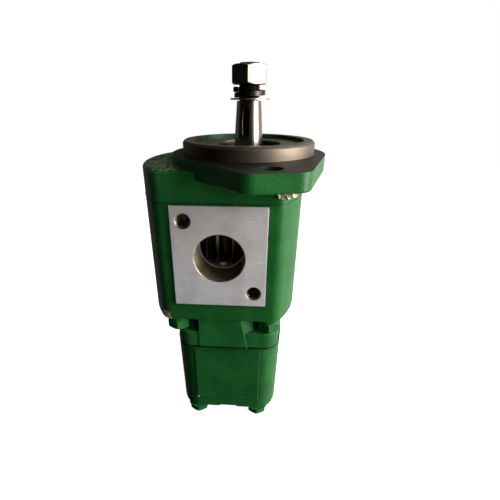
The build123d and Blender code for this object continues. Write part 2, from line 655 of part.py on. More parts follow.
def shaft_seal():
    """Radial lip seal: outer wall, web and a lip that just clears the journal."""
    bottom, top = SEAL_BOTTOM, SEAL_BOTTOM + SEAL_HEIGHT
    outer = SEAL_R - 0.01
    profile = Polyline(
        (outer, bottom),
        (outer, top),
        (FRONT_JOURNAL_R + 1.6, top),
        (FRONT_JOURNAL_R + RUNNING_GAP, top - SEAL_LIP_Z),
        (FRONT_JOURNAL_R + 0.9, bottom + 1.0),
        (FRONT_JOURNAL_R + 3.2, bottom + 1.0),
        (FRONT_JOURNAL_R + 3.2, top - SEAL_WALL),
        (outer - SEAL_WALL, top - SEAL_WALL),
        (outer - SEAL_WALL, bottom),
        close=True,
    )
    return revolve(Plane.XZ * make_face(profile), Axis.Z)


def garter_spring():
    """Closed spring that holds the seal's lip to the shaft."""
    ring_r = FRONT_JOURNAL_R + 3.2 + 0.9
    return Pos(0, 0, SEAL_BOTTOM + 2.4) * Torus(ring_r, 0.85)


def circlip():
    """Internal retaining ring above the seal, with its two ears."""
    low = SEAL_BOTTOM + SEAL_HEIGHT
    high = low + CIRCLIP_THICKNESS
    ring = cylinder(0, 0, low, high, CIRCLIP_GROOVE_R - 0.1) - cylinder(0, 0, low - 1, high + 1, SEAL_R - 2.2)
    gap = block(0, SEAL_R - 2, low - 1, high + 1, 7, 12)
    ring -= gap
    for side in (-1, 1):
        ear = cylinder(side * 6.2, SEAL_R - 4.4, low, high, 2.6)
        ring += ear - gap
        ring -= cylinder(side * 6.2, SEAL_R - 4.4, low - 1, high + 1, 0.9)
    return ring


def joint_seal(spacing, radius, level):
    """Moulded ring in the groove of a joint face."""
    ring = prism(slot_ring(spacing, radius, JOINT_SEAL_WIDTH - 0.1), level - JOINT_SEAL_DEPTH, level)
    return fillet(ring.edges().filter_by_position(Axis.Z, level - 0.01, level + 0.01), 0.6)


def group(solids):
    """Separate solids that share one node."""
    return Compound(children=list(solids))


def dowels(centre_x, dx, dy, level, radius, length):
    """A pair of dowel pins across a joint."""
    pins = []
    for x, y in dowel_places(centre_x, dx, dy):
        pin = cylinder(x, y, level - length / 2, level + length / 2, radius - 0.01)
        pins.append(chamfer(pin.edges().filter_by(GeomType.CIRCLE), 0.6))
    return group(pins)


def front_studs():
    """Studs screwed into the cover, which run down past the first housing into the corners of the waist."""
    low = BODY_BOTTOM - LOCK_WASHER_THICKNESS - FRONT_NUT_HEIGHT - FRONT_STUD_END
    studs = []
    for x, y in corners(FRONT_STUD_CENTRE_X, FRONT_STUD_X, FRONT_STUD_Y):
        stud = cylinder(x, y, low, FRONT_STUD_TOP, FRONT_STUD_R)
        studs.append(chamfer(stud.edges().filter_by(GeomType.CIRCLE), STUD_CHAMFER))
    return group(studs)


def front_stud_nuts():
    """Hexagon nuts on the lower ends of the studs."""
    top = BODY_BOTTOM - LOCK_WASHER_THICKNESS
    bottom = top - FRONT_NUT_HEIGHT
    nut = hex_body(FRONT_NUT_FLATS, bottom, top, True)
    nut -= cylinder(0, 0, bottom - 1, top + 1, FRONT_STUD_R + FIT_GAP)
    return group(Pos(x, y, 0) * nut for x, y in corners(FRONT_STUD_CENTRE_X, FRONT_STUD_X, FRONT_STUD_Y))


def front_lock_washers():
    """Flattened split washers under the stud nuts."""
    low = BODY_BOTTOM - LOCK_WASHER_THICKNESS
    rings = []
    for x, y in corners(FRONT_STUD_CENTRE_X, FRONT_STUD_X, FRONT_STUD_Y):
        ring = cylinder(x, y, low, BODY_BOTTOM, LOCK_WASHER_R)
        ring -= cylinder(x, y, low - 1, BODY_BOTTOM + 1, FRONT_STUD_R + 0.25)
        rings.append(ring - block(x + LOCK_WASHER_R, y, low - 1, BODY_BOTTOM + 1, 2 * LOCK_WASHER_R, LOCK_WASHER_SPLIT))
    return group(rings)


def rear_bolts():
    """Bolts that clamp the second housing to the ears."""
    places = corners(REAR_CENTRE_X, REAR_BOLT_X, REAR_BOLT_Y)
    seat = REAR_BOTTOM - REAR_WASHER_THICKNESS
    return group(
        hex_bolt(x, y, seat, REAR_BOLT_R, REAR_BOLT_LENGTH, REAR_BOLT_FLATS, REAR_BOLT_HEAD) for x, y in places
    )


def rear_washers():
    """Plain washers under the heads of the rear bolts."""
    low = REAR_BOTTOM - REAR_WASHER_THICKNESS
    rings = []
    for x, y in corners(REAR_CENTRE_X, REAR_BOLT_X, REAR_BOLT_Y):
        ring = cylinder(x, y, low, REAR_BOTTOM, REAR_WASHER_R)
        rings.append(ring - cylinder(x, y, low - 1, REAR_BOTTOM + 1, REAR_BOLT_R + 0.25))
    return group(rings)


def stage_bearings(stage, spacing, bore_r, journal_r, bush_r, gear_faces, end_faces):
    """Bearing blocks, bushes and pressure seals above and below one gear pair, by node name."""
    nodes = {}
    for place, gear_face, end_face in zip(("upper", "lower"), gear_faces, end_faces):
        away = 1 if end_face > gear_face else -1
        inner = gear_face + away * END_FLOAT
        outer = end_face - away * END_FLOAT
        low, high = sorted((inner, outer))
        nodes[f"{stage}_{place}_bearing_block"] = bearing_block(spacing, bore_r, bush_r, inner, outer)
        nodes[f"{stage}_{place}_pressure_seal"] = pressure_seal(spacing, bush_r, outer, away)
        nodes[f"{stage}_{place}_drive_bush"] = bush(0, journal_r, bush_r, low, high)
        nodes[f"{stage}_{place}_driven_bush"] = bush(-spacing, journal_r, bush_r, low, high)
    return nodes


def pump():
    """Every node of the pump, by name."""
    nodes = {
        "front_cover": front_cover(),
        "front_body": front_body(),
        "rear_body": rear_body(),
        "drive_gear_shaft": drive_gear_shaft(),
        "driven_gear_shaft": driven_gear_shaft(),
        "rear_drive_gear_shaft": rear_drive_gear_shaft(),
        "rear_driven_gear_shaft": rear_driven_gear_shaft(),
        "spline_coupling": spline_coupling(),
        "shaft_nut": shaft_nut(),
        "spring_washer": spring_washer(),
        "flat_washer": flat_washer(),
        "shaft_seal": shaft_seal(),
        "seal_garter_spring": garter_spring(),
        "seal_circlip": circlip(),
        "cover_joint_seal": joint_seal(FRONT_SPACING, FRONT_SEAL_R, COVER_JOINT),
        "rear_joint_seal": joint_seal(REAR_SPACING, REAR_SEAL_R, REAR_JOINT),
        "cover_dowels": dowels(
            FRONT_CENTRE_X, FRONT_DOWEL_X, FRONT_DOWEL_Y, COVER_JOINT, FRONT_DOWEL_R, FRONT_DOWEL_LENGTH
        ),
        "rear_dowels": dowels(
            REAR_CENTRE_X, REAR_DOWEL_X, REAR_DOWEL_Y, REAR_JOINT, REAR_DOWEL_R, REAR_DOWEL_LENGTH
        ),
        "front_body_studs": front_studs(),
        "front_stud_nuts": front_stud_nuts(),
        "front_stud_washers": front_lock_washers(),
        "rear_body_bolts": rear_bolts(),
        "rear_bolt_washers": rear_washers(),
    }
    front_gear = (FRONT_MID + FRONT_WIDTH / 2, FRONT_MID - FRONT_WIDTH / 2)
    nodes.update(
        stage_bearings(
            "front",
            FRONT_SPACING,
            FRONT_BORE_R,
            FRONT_JOURNAL_R,
            FRONT_BUSH_R,
            front_gear,
            (COVER_JOINT, BODY_FLOOR),
        )
    )
    rear_gear = (REAR_MID + REAR_WIDTH / 2, REAR_MID - REAR_WIDTH / 2)
    nodes.update(
        stage_bearings(
            "rear", REAR_SPACING, REAR_BORE_R, REAR_JOURNAL_R, REAR_BUSH_R, rear_gear, (REAR_JOINT, REAR_FLOOR)
        )
    )
    return nodes


os.makedirs("parts", exist_ok=True)
for name, shape in pump().items():
    export_step(shape, f"parts/{name}.step")
    print(name, "solids", len(shape.solids()), "volume", round(shape.volume))
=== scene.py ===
"""Looks of a two-stage hydraulic gear pump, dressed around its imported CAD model.

The CAD nodes keep their shapes and get finishes made of nodes. Added pieces are the cut threads in the tapped
holes, the bead of sealant along each joint and the curls of lifted paint under the flange.
"""

import json
import logging
import math
import random
from dataclasses import dataclass, field
from enum import Enum
from typing import Any, Optional, Sequence, Union

import bpy
from mathutils import Matrix, Vector


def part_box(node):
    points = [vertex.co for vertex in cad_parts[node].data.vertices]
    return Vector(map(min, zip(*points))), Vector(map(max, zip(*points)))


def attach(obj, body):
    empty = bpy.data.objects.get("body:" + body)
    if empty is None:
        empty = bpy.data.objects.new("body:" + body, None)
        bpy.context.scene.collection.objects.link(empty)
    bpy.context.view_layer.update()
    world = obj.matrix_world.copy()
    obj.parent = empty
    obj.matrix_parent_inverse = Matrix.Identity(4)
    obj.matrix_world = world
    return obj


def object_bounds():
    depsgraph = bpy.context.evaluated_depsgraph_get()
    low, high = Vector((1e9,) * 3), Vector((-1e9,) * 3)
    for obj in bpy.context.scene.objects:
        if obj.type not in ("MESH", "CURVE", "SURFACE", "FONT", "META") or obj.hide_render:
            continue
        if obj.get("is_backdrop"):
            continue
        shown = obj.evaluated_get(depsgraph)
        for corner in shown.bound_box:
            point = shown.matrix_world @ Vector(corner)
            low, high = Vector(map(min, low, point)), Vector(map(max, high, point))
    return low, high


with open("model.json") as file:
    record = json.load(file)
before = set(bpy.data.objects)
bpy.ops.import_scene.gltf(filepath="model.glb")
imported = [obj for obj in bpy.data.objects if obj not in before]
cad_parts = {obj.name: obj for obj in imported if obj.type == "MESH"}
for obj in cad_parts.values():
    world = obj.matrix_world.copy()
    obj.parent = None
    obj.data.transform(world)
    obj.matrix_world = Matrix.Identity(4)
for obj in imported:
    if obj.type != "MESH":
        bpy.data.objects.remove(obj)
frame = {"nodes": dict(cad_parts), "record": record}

MM = 0.001
LOG = logging.getLogger("pump")
Number = Union[int, float]
Colour = tuple[float, float, float, float]
EVEN = (1.0, 1.0, 1.0)


def shade(red: float, green: float, blue: float) -> Colour:
    """A colour with full opacity, from linear values."""
    return (red, green, blue, 1.0)


class Body(Enum):
    """The body that the added pieces ride on."""

    HOUSING = "housing"


class Slot(Enum):
    """The record's material slot that added pieces take."""

    CASTING = "painted_casting"


class Along(Enum):
    """The axis that a turned or bored face is round."""

    X = 0
    Y = 1
    Z = 2


# ---- shader maths


class Wire:
    """One output of a shader node, with arithmetic that adds Math nodes."""

    def __init__(self, shader: "Shader", socket: bpy.types.NodeSocket) -> None:
        """Keeps the socket and the shader that it belongs to."""
        self.shader = shader
        self.socket = socket

    def math(self, operation: str, *others: Any) -> "Wire":
        """This value put through a Math node.

        Args:
            operation: the Math node's operation.
            others: the node's other values, wires or numbers.

        Returns:
            The node's result.
        """
        return self.shader.make("ShaderNodeMath", {"operation": operation}, dict(enumerate((self, *others))))

    def flipped(self, operation: str, other: Any) -> "Wire":
        """A Math node with the other value first."""
        return self.shader.make("ShaderNodeMath", {"operation": operation}, {0: other, 1: self})

    def __add__(self, other: Any) -> "Wire":
        """Sum."""
        return self.math("ADD", other)

    def __sub__(self, other: Any) -> "Wire":
        """Difference."""
        return self.math("SUBTRACT", other)

    def __rsub__(self, other: Any) -> "Wire":
        """Difference with the other value first."""
        return self.flipped("SUBTRACT", other)

    def __mul__(self, other: Any) -> "Wire":
        """Product."""
        return self.math("MULTIPLY", other)

    def __truediv__(self, other: Any) -> "Wire":
        """Quotient."""
        return self.math("DIVIDE", other)

    __radd__ = __add__
    __rmul__ = __mul__

    def at_most(self, other: Any) -> "Wire":
        """The smaller of two values."""
        return self.math("MINIMUM", other)

    def at_least(self, other: Any) -> "Wire":
        """The larger of two values."""
        return self.math("MAXIMUM", other)

    def size(self) -> "Wire":
        """The value without its sign."""
        return self.math("ABSOLUTE")

    def rise(self, low: Number, high: Number) -> "Wire":
        """A smooth step.

        Args:
            low: the value where the step starts from 0.
            high: the value where it reaches 1. It may be under low, for a falling step.

        Returns:
            The step, from 0 to 1.
        """
        inputs = {"Value": self, "From Min": low, "From Max": high}
        return self.shader.make("ShaderNodeMapRange", {"interpolation_type": "SMOOTHSTEP"}, inputs)


class Shader:
    """A material under construction: its node tree, its surface shader and the node maker."""

    def __init__(self, name: str) -> None:
        """Starts a material with one Principled surface.

        Args:
            name: the material's name.
        """
        self.material = bpy.data.materials.new(name)
        self.material.use_nodes = True
        self.tree = self.material.node_tree
        self.tree.nodes.clear()
        self.surface = self.tree.nodes.new("ShaderNodeBsdfPrincipled")
        output = self.tree.nodes.new("ShaderNodeOutputMaterial")
        self.tree.links.new(self.surface.outputs[0], output.inputs["Surface"])
        self.place = self.make("ShaderNodeTexCoord", {}, {}, "Object")
        self.facing = self.make("ShaderNodeNewGeometry", {}, {}, "Normal")

    def make(self, kind: str, settings: dict[str, Any], inputs: dict[Any, Any], output: Any = 0) -> Wire:
        """Adds a node.

        Args:
            kind: the node's type.
            settings: attributes, set before anything else.
            inputs: wires or constants by input name or number.
            output: the name or number of the output to return.

        Returns:
            The wire from that output.
        """
        node = self.tree.nodes.new(kind)
        for name, value in settings.items():
            setattr(node, name, value)
        for name, value in inputs.items():
            if isinstance(value, Wire):
                self.tree.links.new(value.socket, node.inputs[name])
            else:
                node.inputs[name].default_value = value
        return Wire(self, node.outputs[output])

    def set(self, **inputs: Any) -> None:
        """Sets or links the surface's inputs.

        Args:
            inputs: wires or constants by input name, where underscores stand for spaces.
        """
        for name, value in inputs.items():
            socket = self.surface.inputs[name.replace("_", " ")]
            if isinstance(value, Wire):
                self.tree.links.new(value.socket, socket)
            else:
                socket.default_value = value

    def stretched(self, x: Number, y: Number, z: Number) -> Wire:
        """Object coordinates with each axis scaled."""
        return self.make("ShaderNodeMapping", {}, {"Vector": self.place, "Scale": (x, y, z)})

    def noise(
        self, size: Number, detail: Number = 3.0, rough: Number = 0.55, vector: Optional[Wire] = None
    ) -> Wire:
        """Cloudy noise, about 0.5 on average.

        Args:
            size: the size of its patches in millimetres.
            detail: how many finer layers it has.
            rough: the strength of the finer layers.
            vector: coordinates, or None for Object coordinates.

        Returns:
            The noise value.
        """
        scale = 1.0 / (size * MM)
        inputs = {"Vector": vector or self.place, "Scale": scale, "Detail": detail, "Roughness": rough}
        return self.make("ShaderNodeTexNoise", {}, inputs, "Fac")

    def nothing(self) -> Wire:
        """A mask that is 0 everywhere, to gather others onto."""
        return self.noise(50, 0) * 0.0

    def cells(self, size: Number) -> Wire:
        """Distance to scattered points, in cells of a size in millimetres."""
        return self.make("ShaderNodeTexVoronoi", {}, {"Vector": self.place, "Scale": 1.0 / (size * MM)})

    def radius(self) -> Wire:
        """Distance from the shaft's axis.

        Returns:
            The distance.
        """
        x = self.axis(Along.X)
        y = self.axis(Along.Y)
        return (x * x + y * y).math("SQRT")

    def blend(self, amount: Any, first: Any, second: Any) -> Wire:
        """Mixes two colours.

        Args:
            amount: 0 gives the first colour, 1 the second.
            first: a colour or a wire.
            second: a colour or a wire.

        Returns:
            The mixed colour.
        """
        return self.make("ShaderNodeMix", {"data_type": "RGBA"}, {0: amount, 6: first, 7: second}, 2)

    def axis(self, along: Along, vector: Optional[Wire] = None) -> Wire:
        """One component of the Object coordinates, or of another vector."""
        return self.make("ShaderNodeSeparateXYZ", {}, {0: vector or self.place}, along.value)

    def edges(self, radius: Number) -> tuple[Wire, Wire]:
        """Rounded normals and where they differ from the flat ones.

        Args:
            radius: the radius of the rounding in millimetres.

        Returns:
            The rounded normal, and a mask that is 1 along edges.
        """
        rounded = self.make("ShaderNodeBevel", {"samples": 6}, {"Radius": radius * MM})
        pair = {0: rounded, 1: self.facing}
        alike = self.make("ShaderNodeVectorMath", {"operation": "DOT_PRODUCT"}, pair, "Value")
        return rounded, alike.rise(0.995, 0.86)

    def relief(self, height: Wire, depth: Number, under: Optional[Wire] = None) -> Wire:
        """A bumped normal.

        Args:
            height: the relief, from 0 to 1.
            depth: what 1 stands for, in millimetres.
            under: the normal that the relief is laid on.

        Returns:
            The normal.
        """
        inputs = {"Height": height, "Distance": depth * MM, "Strength": 1.0}
        if under is not None:
            inputs["Normal"] = under
        return self.make("ShaderNodeBump", {}, inputs)


# ---- machined zones


@dataclass(frozen=True)
class Bore:
    """A turned or bored zone that paint was kept off, round an axis of the frame."""

    along: Along
    centre: tuple[float, float]
    radius: float
    start: float
    end: float

    def mask(self, shader: Shader) -> Wire:
        """1 inside the zone.

        Args:
            shader: the material that the mask belongs to.

        Returns:
            The mask.
        """
        across = [axis for axis in Along if axis is not self.along]
        first = shader.axis(across[0]) - self.centre[0]
        second = shader.axis(across[1]) - self.centre[1]
        distance = (first * first + second * second).math("SQRT")
        level = shader.axis(self.along)
        edge = 0.12 * MM
        inside = distance.rise(self.radius + edge, self.radius - edge)
        above = level.rise(self.start - edge, self.start + edge)
        return inside * above * level.rise(self.end + edge, self.end - edge)


@dataclass(frozen=True)
class Pad:
    """A milled face across Y, beyond a level; sign is +1 or -1 for the side it is on."""

    level: float
    sign: int

    def mask(self, shader: Shader) -> Wire:
        """1 on the milled face and 0 behind it.

        Args:
            shader: the material that the mask belongs to.

        Returns:
            The mask.
        """
        level = shader.axis(Along.Y) * self.sign
        facing = shader.axis(Along.Y, shader.facing) * self.sign
        edge = 0.06 * MM
        return level.rise(self.level - edge, self.level + edge) * facing.rise(0.6, 0.9)


Zone = Union[Bore, Pad]


@dataclass(frozen=True)
class Scar:
    """A spot where the paint is knocked off."""

    centre: tuple[float, float, float]
    radius: float

    def mask(self, shader: Shader) -> Wire:
        """1 inside the ragged spot.

        Args:
            shader: the material that the mask belongs to.

        Returns:
            The mask.
        """
        inputs = {0: shader.place, 1: self.centre}
        distance = shader.make("ShaderNodeVectorMath", {"operation": "DISTANCE"}, inputs, "Value")
        ragged = distance + shader.noise(2.0, 3, 0.7) * self.radius * 1.4
        return ragged.rise(self.radius * 1.75, self.radius * 1.6)


# ---- finishes


@dataclass(frozen=True)
class Enamel:
    """Gloss green enamel brushed over cast iron, bare on the machined zones."""

    name: str
    zones: tuple[Zone, ...] = ()
    deep: Colour = shade(0.0080, 0.070, 0.0150)
    light: Colour = shade(0.0120, 0.095, 0.0205)
    iron: Colour = shade(0.56, 0.54, 0.53)
    # painted sheen: the lighter, bluer iron towards the bottom of the milled faces
    sheen_iron: Colour = shade(0.62, 0.62, 0.68)
    milled: Colour = shade(0.66, 0.64, 0.67)
    scratched: Colour = shade(0.85, 0.83, 0.80)
    stained: Colour = shade(0.36, 0.325, 0.29)
    rim: Colour = shade(0.72, 0.70, 0.66)
    pit: Colour = shade(0.03, 0.025, 0.02)
    cloud: Colour = shade(0.003, 0.040, 0.010)
    filler: Colour = shade(0.44, 0.40, 0.26)
    primer: Colour = shade(0.44, 0.40, 0.26)
    rust: Colour = shade(0.075, 0.045, 0.030)
    wall: Colour = shade(0.56, 0.46, 0.33)
    wall_band: Colour = shade(0.32, 0.265, 0.18)
    wall_stain: Colour = shade(0.085, 0.075, 0.040)
    # the darker colour of the bore walls where they face upward
    bore_floor: Colour = shade(0.030, 0.024, 0.011)
    sheen_levels: tuple[float, float] = (-55 * MM, -105 * MM)
    cast_depth: float = 0.38
    chip_share: float = 0.60
    bare_metal: float = 0.35
    wall_metal: float = 0.55
    coat: float = 0.05
    bare_roughness: float = 0.36
    scars: tuple["Scar", ...] = ()
    seams: tuple[tuple[float, float], ...] = ()
    # painted shade: near-black green along the joints, where the gap between castings falls in shadow
    joint_shade: Colour = shade(0.0015, 0.0060, 0.0020)

    def build(self) -> bpy.types.Material:
        """Builds the material.

        Returns:
            The material, with paint, chips and machined faces.
        """
        shader = Shader(self.name)
        rounded, edge = shader.edges(0.9)
        bare = self.bare(shader)
        paint = self.paint(shader)
        worn = shader.noise(2.6, 4, 0.7) + edge * 0.20
        chip = worn.rise(self.chip_share + 0.12, self.chip_share + 0.16) * edge
        chip = chip * shader.noise(14, 2).rise(0.50, 0.58)
        speck = shader.cells(9.0).rise(0.075, 0.05) * shader.noise(30, 2).rise(0.56, 0.62)
        scarred = shader.nothing()
        for scar in self.scars:
            scarred = scarred.at_least(scar.mask(shader))
        lost = chip.at_least(speck * 0.8).at_least(scarred)
        under = shader.blend(shader.noise(1.6, 2).rise(0.42, 0.58), self.rust, self.primer)
        under = shader.blend(scarred * shader.noise(1.2, 3).rise(0.38, 0.52), under, self.filler)
        colour = shader.blend(lost, paint, under)
        cut = shader.noise(1.3, 3) * 0.16 + self.bare_roughness
        shader.set(
            Base_Color=shader.blend(bare, colour, self.machined(shader)),
            Metallic=bare * (self.bare_metal + self.bored(shader) * (self.wall_metal - self.bare_metal)),
            Roughness=shader.blend(bare, self.gloss(shader, lost), cut),
            Coat_Weight=(1.0 - bare) * (1.0 - lost) * self.coat,
            Coat_Roughness=0.16,
            Specular_IOR_Level=0.17,
            Normal=self.surface(shader, rounded, bare, lost),
        )
        return shader.material

    def paint(self, shader: Shader) -> Wire:
        """The enamel's colour, in faint clouds, with painted shade along the joints.

        Args:
            shader: the material under construction.

        Returns:
            The colour.
        """
        paint = shader.blend(shader.noise(22, 2).rise(0.3, 0.7), self.deep, self.light)
        paint = shader.blend(shader.noise(3.4, 4).rise(0.56, 0.80) * 0.25, paint, self.cloud)
        # painted shade along each joint, fading with the distance from its level
        for level, reach in self.seams:
            gap = (shader.axis(Along.Z) - level).size().rise(reach, reach * 0.5)
            paint = shader.blend(gap * 0.92, paint, self.joint_shade)
        return paint

    def bare(self, shader: Shader) -> Wire:
        """The sum of the machined zones, held to 1.

        Args:
            shader: the material under construction.

        Returns:
            The mask of bare metal.
        """
        total = shader.nothing()
        for zone in self.zones:
            total = total.at_least(zone.mask(shader))
        return total

    def bored(self, shader: Shader) -> Wire:
        """1 on the walls of the bores, 0 on the milled faces.

        Args:
            shader: the material under construction.

        Returns:
            The mask of bore walls.
        """
        total = shader.nothing()
        for zone in self.zones:
            if isinstance(zone, Bore):
                total = total.at_least(zone.mask(shader))
        facing = shader.axis(Along.Y, shader.facing).size()
        return total * facing.rise(0.9, 0.7)

    def gloss(self, shader: Shader, lost: Wire) -> Wire:
        """Roughness of the paint, duller where it is thin or gone."""
        return shader.noise(7, 3) * 0.18 + 0.24 + lost * 0.3

    def machined(self, shader: Shader) -> Wire:
        """Colour of the bare milled iron: faint cutter bands, stains, small dark pits, a painted sheen that
        turns it lighter and bluer towards the bottom, and bore walls darker where they face upward.

        Args:
            shader: the material under construction.

        Returns:
            The colour.
        """
        milled = shader.noise(1.1, 2, 0.6, shader.stretched(0.06, 1.0, 1.0))
        stain = shader.noise(17, 4).rise(0.40, 0.72)
        pit = shader.cells(5.0).rise(0.06, 0.03) * shader.noise(12, 1).rise(0.54, 0.60)
        # painted sheen: lighter and bluer towards the bottom, between the sheen levels
        sheen = shader.axis(Along.Z).rise(*self.sheen_levels)
        colour = shader.blend(sheen * 0.6, self.iron, self.sheen_iron)
        colour = shader.blend(milled * 0.45, colour, self.milled)
        scratch = shader.noise(0.5, 1, 0.5, shader.stretched(0.05, 1.0, 0.4)).rise(0.66, 0.70)
        colour = shader.blend(scratch * 0.35, colour, self.scratched)
        colour = shader.blend(stain * 0.40, colour, self.stained)
        _, edge = shader.edges(0.5)
        colour = shader.blend(edge * 0.6, colour, self.rim)
        turned = shader.noise(0.45, 2, 0.6, shader.stretched(0.1, 2.2, 0.1)).rise(0.35, 0.7)
        wall = shader.blend(turned, self.wall, self.wall_band)
        wall = shader.blend(shader.noise(7, 3).rise(0.4, 0.7) * 0.6, wall, self.wall_stain)
        # the bore walls darker where they face upward, towards the floor of each bore
        bore_floor = shader.axis(Along.Z, shader.facing).rise(0.15, 0.70)
        wall = shader.blend(bore_floor * 0.8, wall, self.bore_floor)
        colour = shader.blend(self.bored(shader), colour, wall)
        return shader.blend(pit * 0.8, colour, self.pit)

    def surface(self, shader: Shader, rounded: Wire, bare: Wire, lost: Wire) -> Wire:
        """The relief of sand-cast skin, brushed paint, chips and milling marks over rounded edges.

        Args:
            shader: the material under construction.
            rounded: the normal with rounded edges.
            bare: the mask of bare metal.
            lost: the mask of lost paint.

        Returns:
            The normal.
        """
        cast = shader.noise(2.2, 3, 0.6) * 0.5 + shader.noise(0.9, 2) * 0.45 + shader.noise(9.0, 1) * 0.5
        marks = shader.noise(0.35, 2, 0.6, shader.stretched(0.05, 1.0, 1.0)) * 0.10
        height = cast * (1.0 - bare) - lost * 0.9 + marks * bare
        return shader.relief(height, self.cast_depth, rounded)


@dataclass(frozen=True)
class CoverEnamel(Enamel):
    """The cover's enamel: bare on the pilot, dull on the flange's top, blotched in the recess and darkened
    there with painted shade.
    """

    pilot_radius: float = 51.0 * MM
    recess_radius: float = 42.7 * MM
    seal_radius: float = 35.0 * MM
    ragged_edge: float = 12.0 * MM
    hole_circle: float = 73.0 * MM
    hole_radius: float = 7.15 * MM
    hole_turn: float = math.radians(13.0)
    top_level: float = -0.4 * MM
    plateau_level: float = -6.0 * MM
    oxide: Colour = shade(0.025, 0.020, 0.0155)
    turned: Colour = shade(0.135, 0.108, 0.082)
    bare_roughness: float = 0.44
    coat: float = 0.04
    dust: Colour = shade(0.27, 0.31, 0.19)
    # near-black for sooty patches and the painted shadow on the rough top
    soot_and_shadow: Colour = shade(0.006, 0.008, 0.005)
    # near-black for painted shade in the mounting holes and the recess, with grime in the recess
    sludge_and_shade: Colour = shade(0.004, 0.010, 0.005)
    turned_light: Colour = shade(0.18, 0.155, 0.13)
    rust_speck: Colour = shade(0.07, 0.045, 0.03)
    oxide_dark: Colour = shade(0.017, 0.014, 0.0115)
    oxide_green: Colour = shade(0.020, 0.045, 0.022)
    shadow_from: tuple[float, float] = (-52 * MM, -34 * MM)
    primer: Colour = shade(0.10, 0.085, 0.055)
    bare_metal: float = 1.0

    def bare(self, shader: Shader) -> Wire:
        """The pilot, the flange's top face and the patchy recess.

        Args:
            shader: the material under construction.

        Returns:
            The mask of bare metal.
        """
        level = shader.axis(Along.Z)
        radius = shader.radius()
        above = level.rise(self.top_level - 0.4 * MM, self.top_level)
        upwards = shader.axis(Along.Z, shader.facing).rise(0.5, 0.8)
        pilot = radius.rise(self.pilot_radius + 0.3 * MM, self.pilot_radius)
        flange_top = above * (upwards + pilot).at_most(1.0)
        recess = radius.rise(self.recess_radius + 0.25 * MM, self.recess_radius)
        blotch = (shader.noise(8.5, 4, 0.62) + shader.noise(2.0, 3) * 0.2).rise(0.62, 0.66)
        ragged = radius + shader.noise(6, 4, 0.65) * self.ragged_edge
        blotch = blotch.at_least(ragged.rise(self.seal_radius, self.seal_radius - 1.5 * MM))
        open_faces = (upwards + radius.rise(self.seal_radius + MM, self.seal_radius)).at_most(1.0)
        return flange_top * (1.0 - recess * (1.0 - blotch * open_faces))

    def holes(self, shader: Shader) -> Wire:
        """1 on the walls of the two mounting holes.

        Args:
            shader: the material under construction.

        Returns:
            The mask.
        """
        x = shader.axis(Along.X) * math.cos(self.hole_turn) + shader.axis(Along.Y) * math.sin(self.hole_turn)
        y = shader.axis(Along.Y) * math.cos(self.hole_turn) - shader.axis(Along.X) * math.sin(self.hole_turn)
        off = y.size() - self.hole_circle
        return (x * x + off * off).math("SQRT").rise(self.hole_radius + 0.3 * MM, self.hole_radius + 0.1 * MM)

    def plateau(self, shader: Shader) -> Wire:
        """1 on the rough, unmachined top beside the flange.

        Args:
            shader: the material under construction.

        Returns:
            The mask.
        """
        level = shader.axis(Along.Z)
        upwards = shader.axis(Along.Z, shader.facing).rise(0.5, 0.9)
        return upwards * level.rise(self.plateau_level + 1.5 * MM, self.plateau_level + 1.0 * MM)

    def gloss(self, shader: Shader, lost: Wire) -> Wire:
        """Roughness of the paint, much duller on the rough top."""
        return super().gloss(shader, lost) + self.plateau(shader) * 0.35

    def paint(self, shader: Shader) -> Wire:
        """The enamel's colour, with bare sooty patches and a painted shadow on the rough top, and painted
        shade in the mounting holes and the recess.

        Args:
            shader: the material under construction.

        Returns:
            The colour.
        """
        top = self.plateau(shader)
        soot_and_shadow = (shader.noise(3.2, 5, 0.68) + shader.noise(16, 2) * 0.35).rise(0.655, 0.695)
        # painted shadow: the rough top darker towards +X
        shadow = shader.axis(Along.X).rise(*self.shadow_from) * 0.8
        soot_and_shadow = (soot_and_shadow + shadow).at_most(1.0) * top
        dust = shader.noise(2.2, 4, 0.7).rise(0.48, 0.58) * top
        dusty = shader.blend(dust * 0.6, super().paint(shader), self.dust)
        # painted shade on the walls of the mounting holes
        dusty = shader.blend(self.holes(shader) * 0.85, dusty, self.sludge_and_shade)
        # painted shade over the whole recess, with blotches of grime on top
        recess_grime_and_shade = shader.radius().rise(self.recess_radius + 0.6 * MM, self.recess_radius + 0.3 * MM)
        recess_grime_and_shade = recess_grime_and_shade * (shader.noise(2.6, 4, 0.7).rise(0.46, 0.54) * 0.55 + 0.35)
        dusty = shader.blend(recess_grime_and_shade, dusty, self.sludge_and_shade)
        return shader.blend(soot_and_shadow * 0.92, dusty, self.soot_and_shadow)

    def surface(self, shader: Shader, rounded: Wire, bare: Wire, lost: Wire) -> Wire:
        """The casting's relief, much coarser on the rough top.

        Args:
            shader: the material under construction.
            rounded: the normal with rounded edges.
            bare: the mask of bare metal.
            lost: the mask of lost paint.

        Returns:
            The normal.
        """
        skin = super().surface(shader, rounded, bare, lost)
        lumps = shader.noise(3.0, 5, 0.7) * self.plateau(shader)
        return shader.relief(lumps, 4.5, skin)

    def machined(self, shader: Shader) -> Wire:
        """Dull brown-grey iron on the flange, brighter turned metal on the pilot.

        Args:
            shader: the material under construction.

        Returns:
            The colour.
        """
        radius = shader.radius()
        fine = shader.noise(0.5, 2, 0.6, shader.stretched(0.12, 0.12, 3.0))
        turned = shader.blend(fine * 0.6, self.turned, self.turned_light)
        speck = shader.cells(2.4).rise(0.16, 0.08) * shader.noise(9, 2).rise(0.50, 0.60)
        turned = shader.blend(speck * 0.7, turned, self.rust_speck)
        flat = shader.blend(shader.noise(5, 4).rise(0.35, 0.75) * 0.6, self.oxide, self.oxide_dark)
        flat = shader.blend(shader.noise(14, 3).rise(0.55, 0.75) * 0.35, flat, self.oxide_green)
        ring = radius.rise(self.pilot_radius + 0.3 * MM, self.pilot_radius)
        return shader.blend(ring, flat, turned)


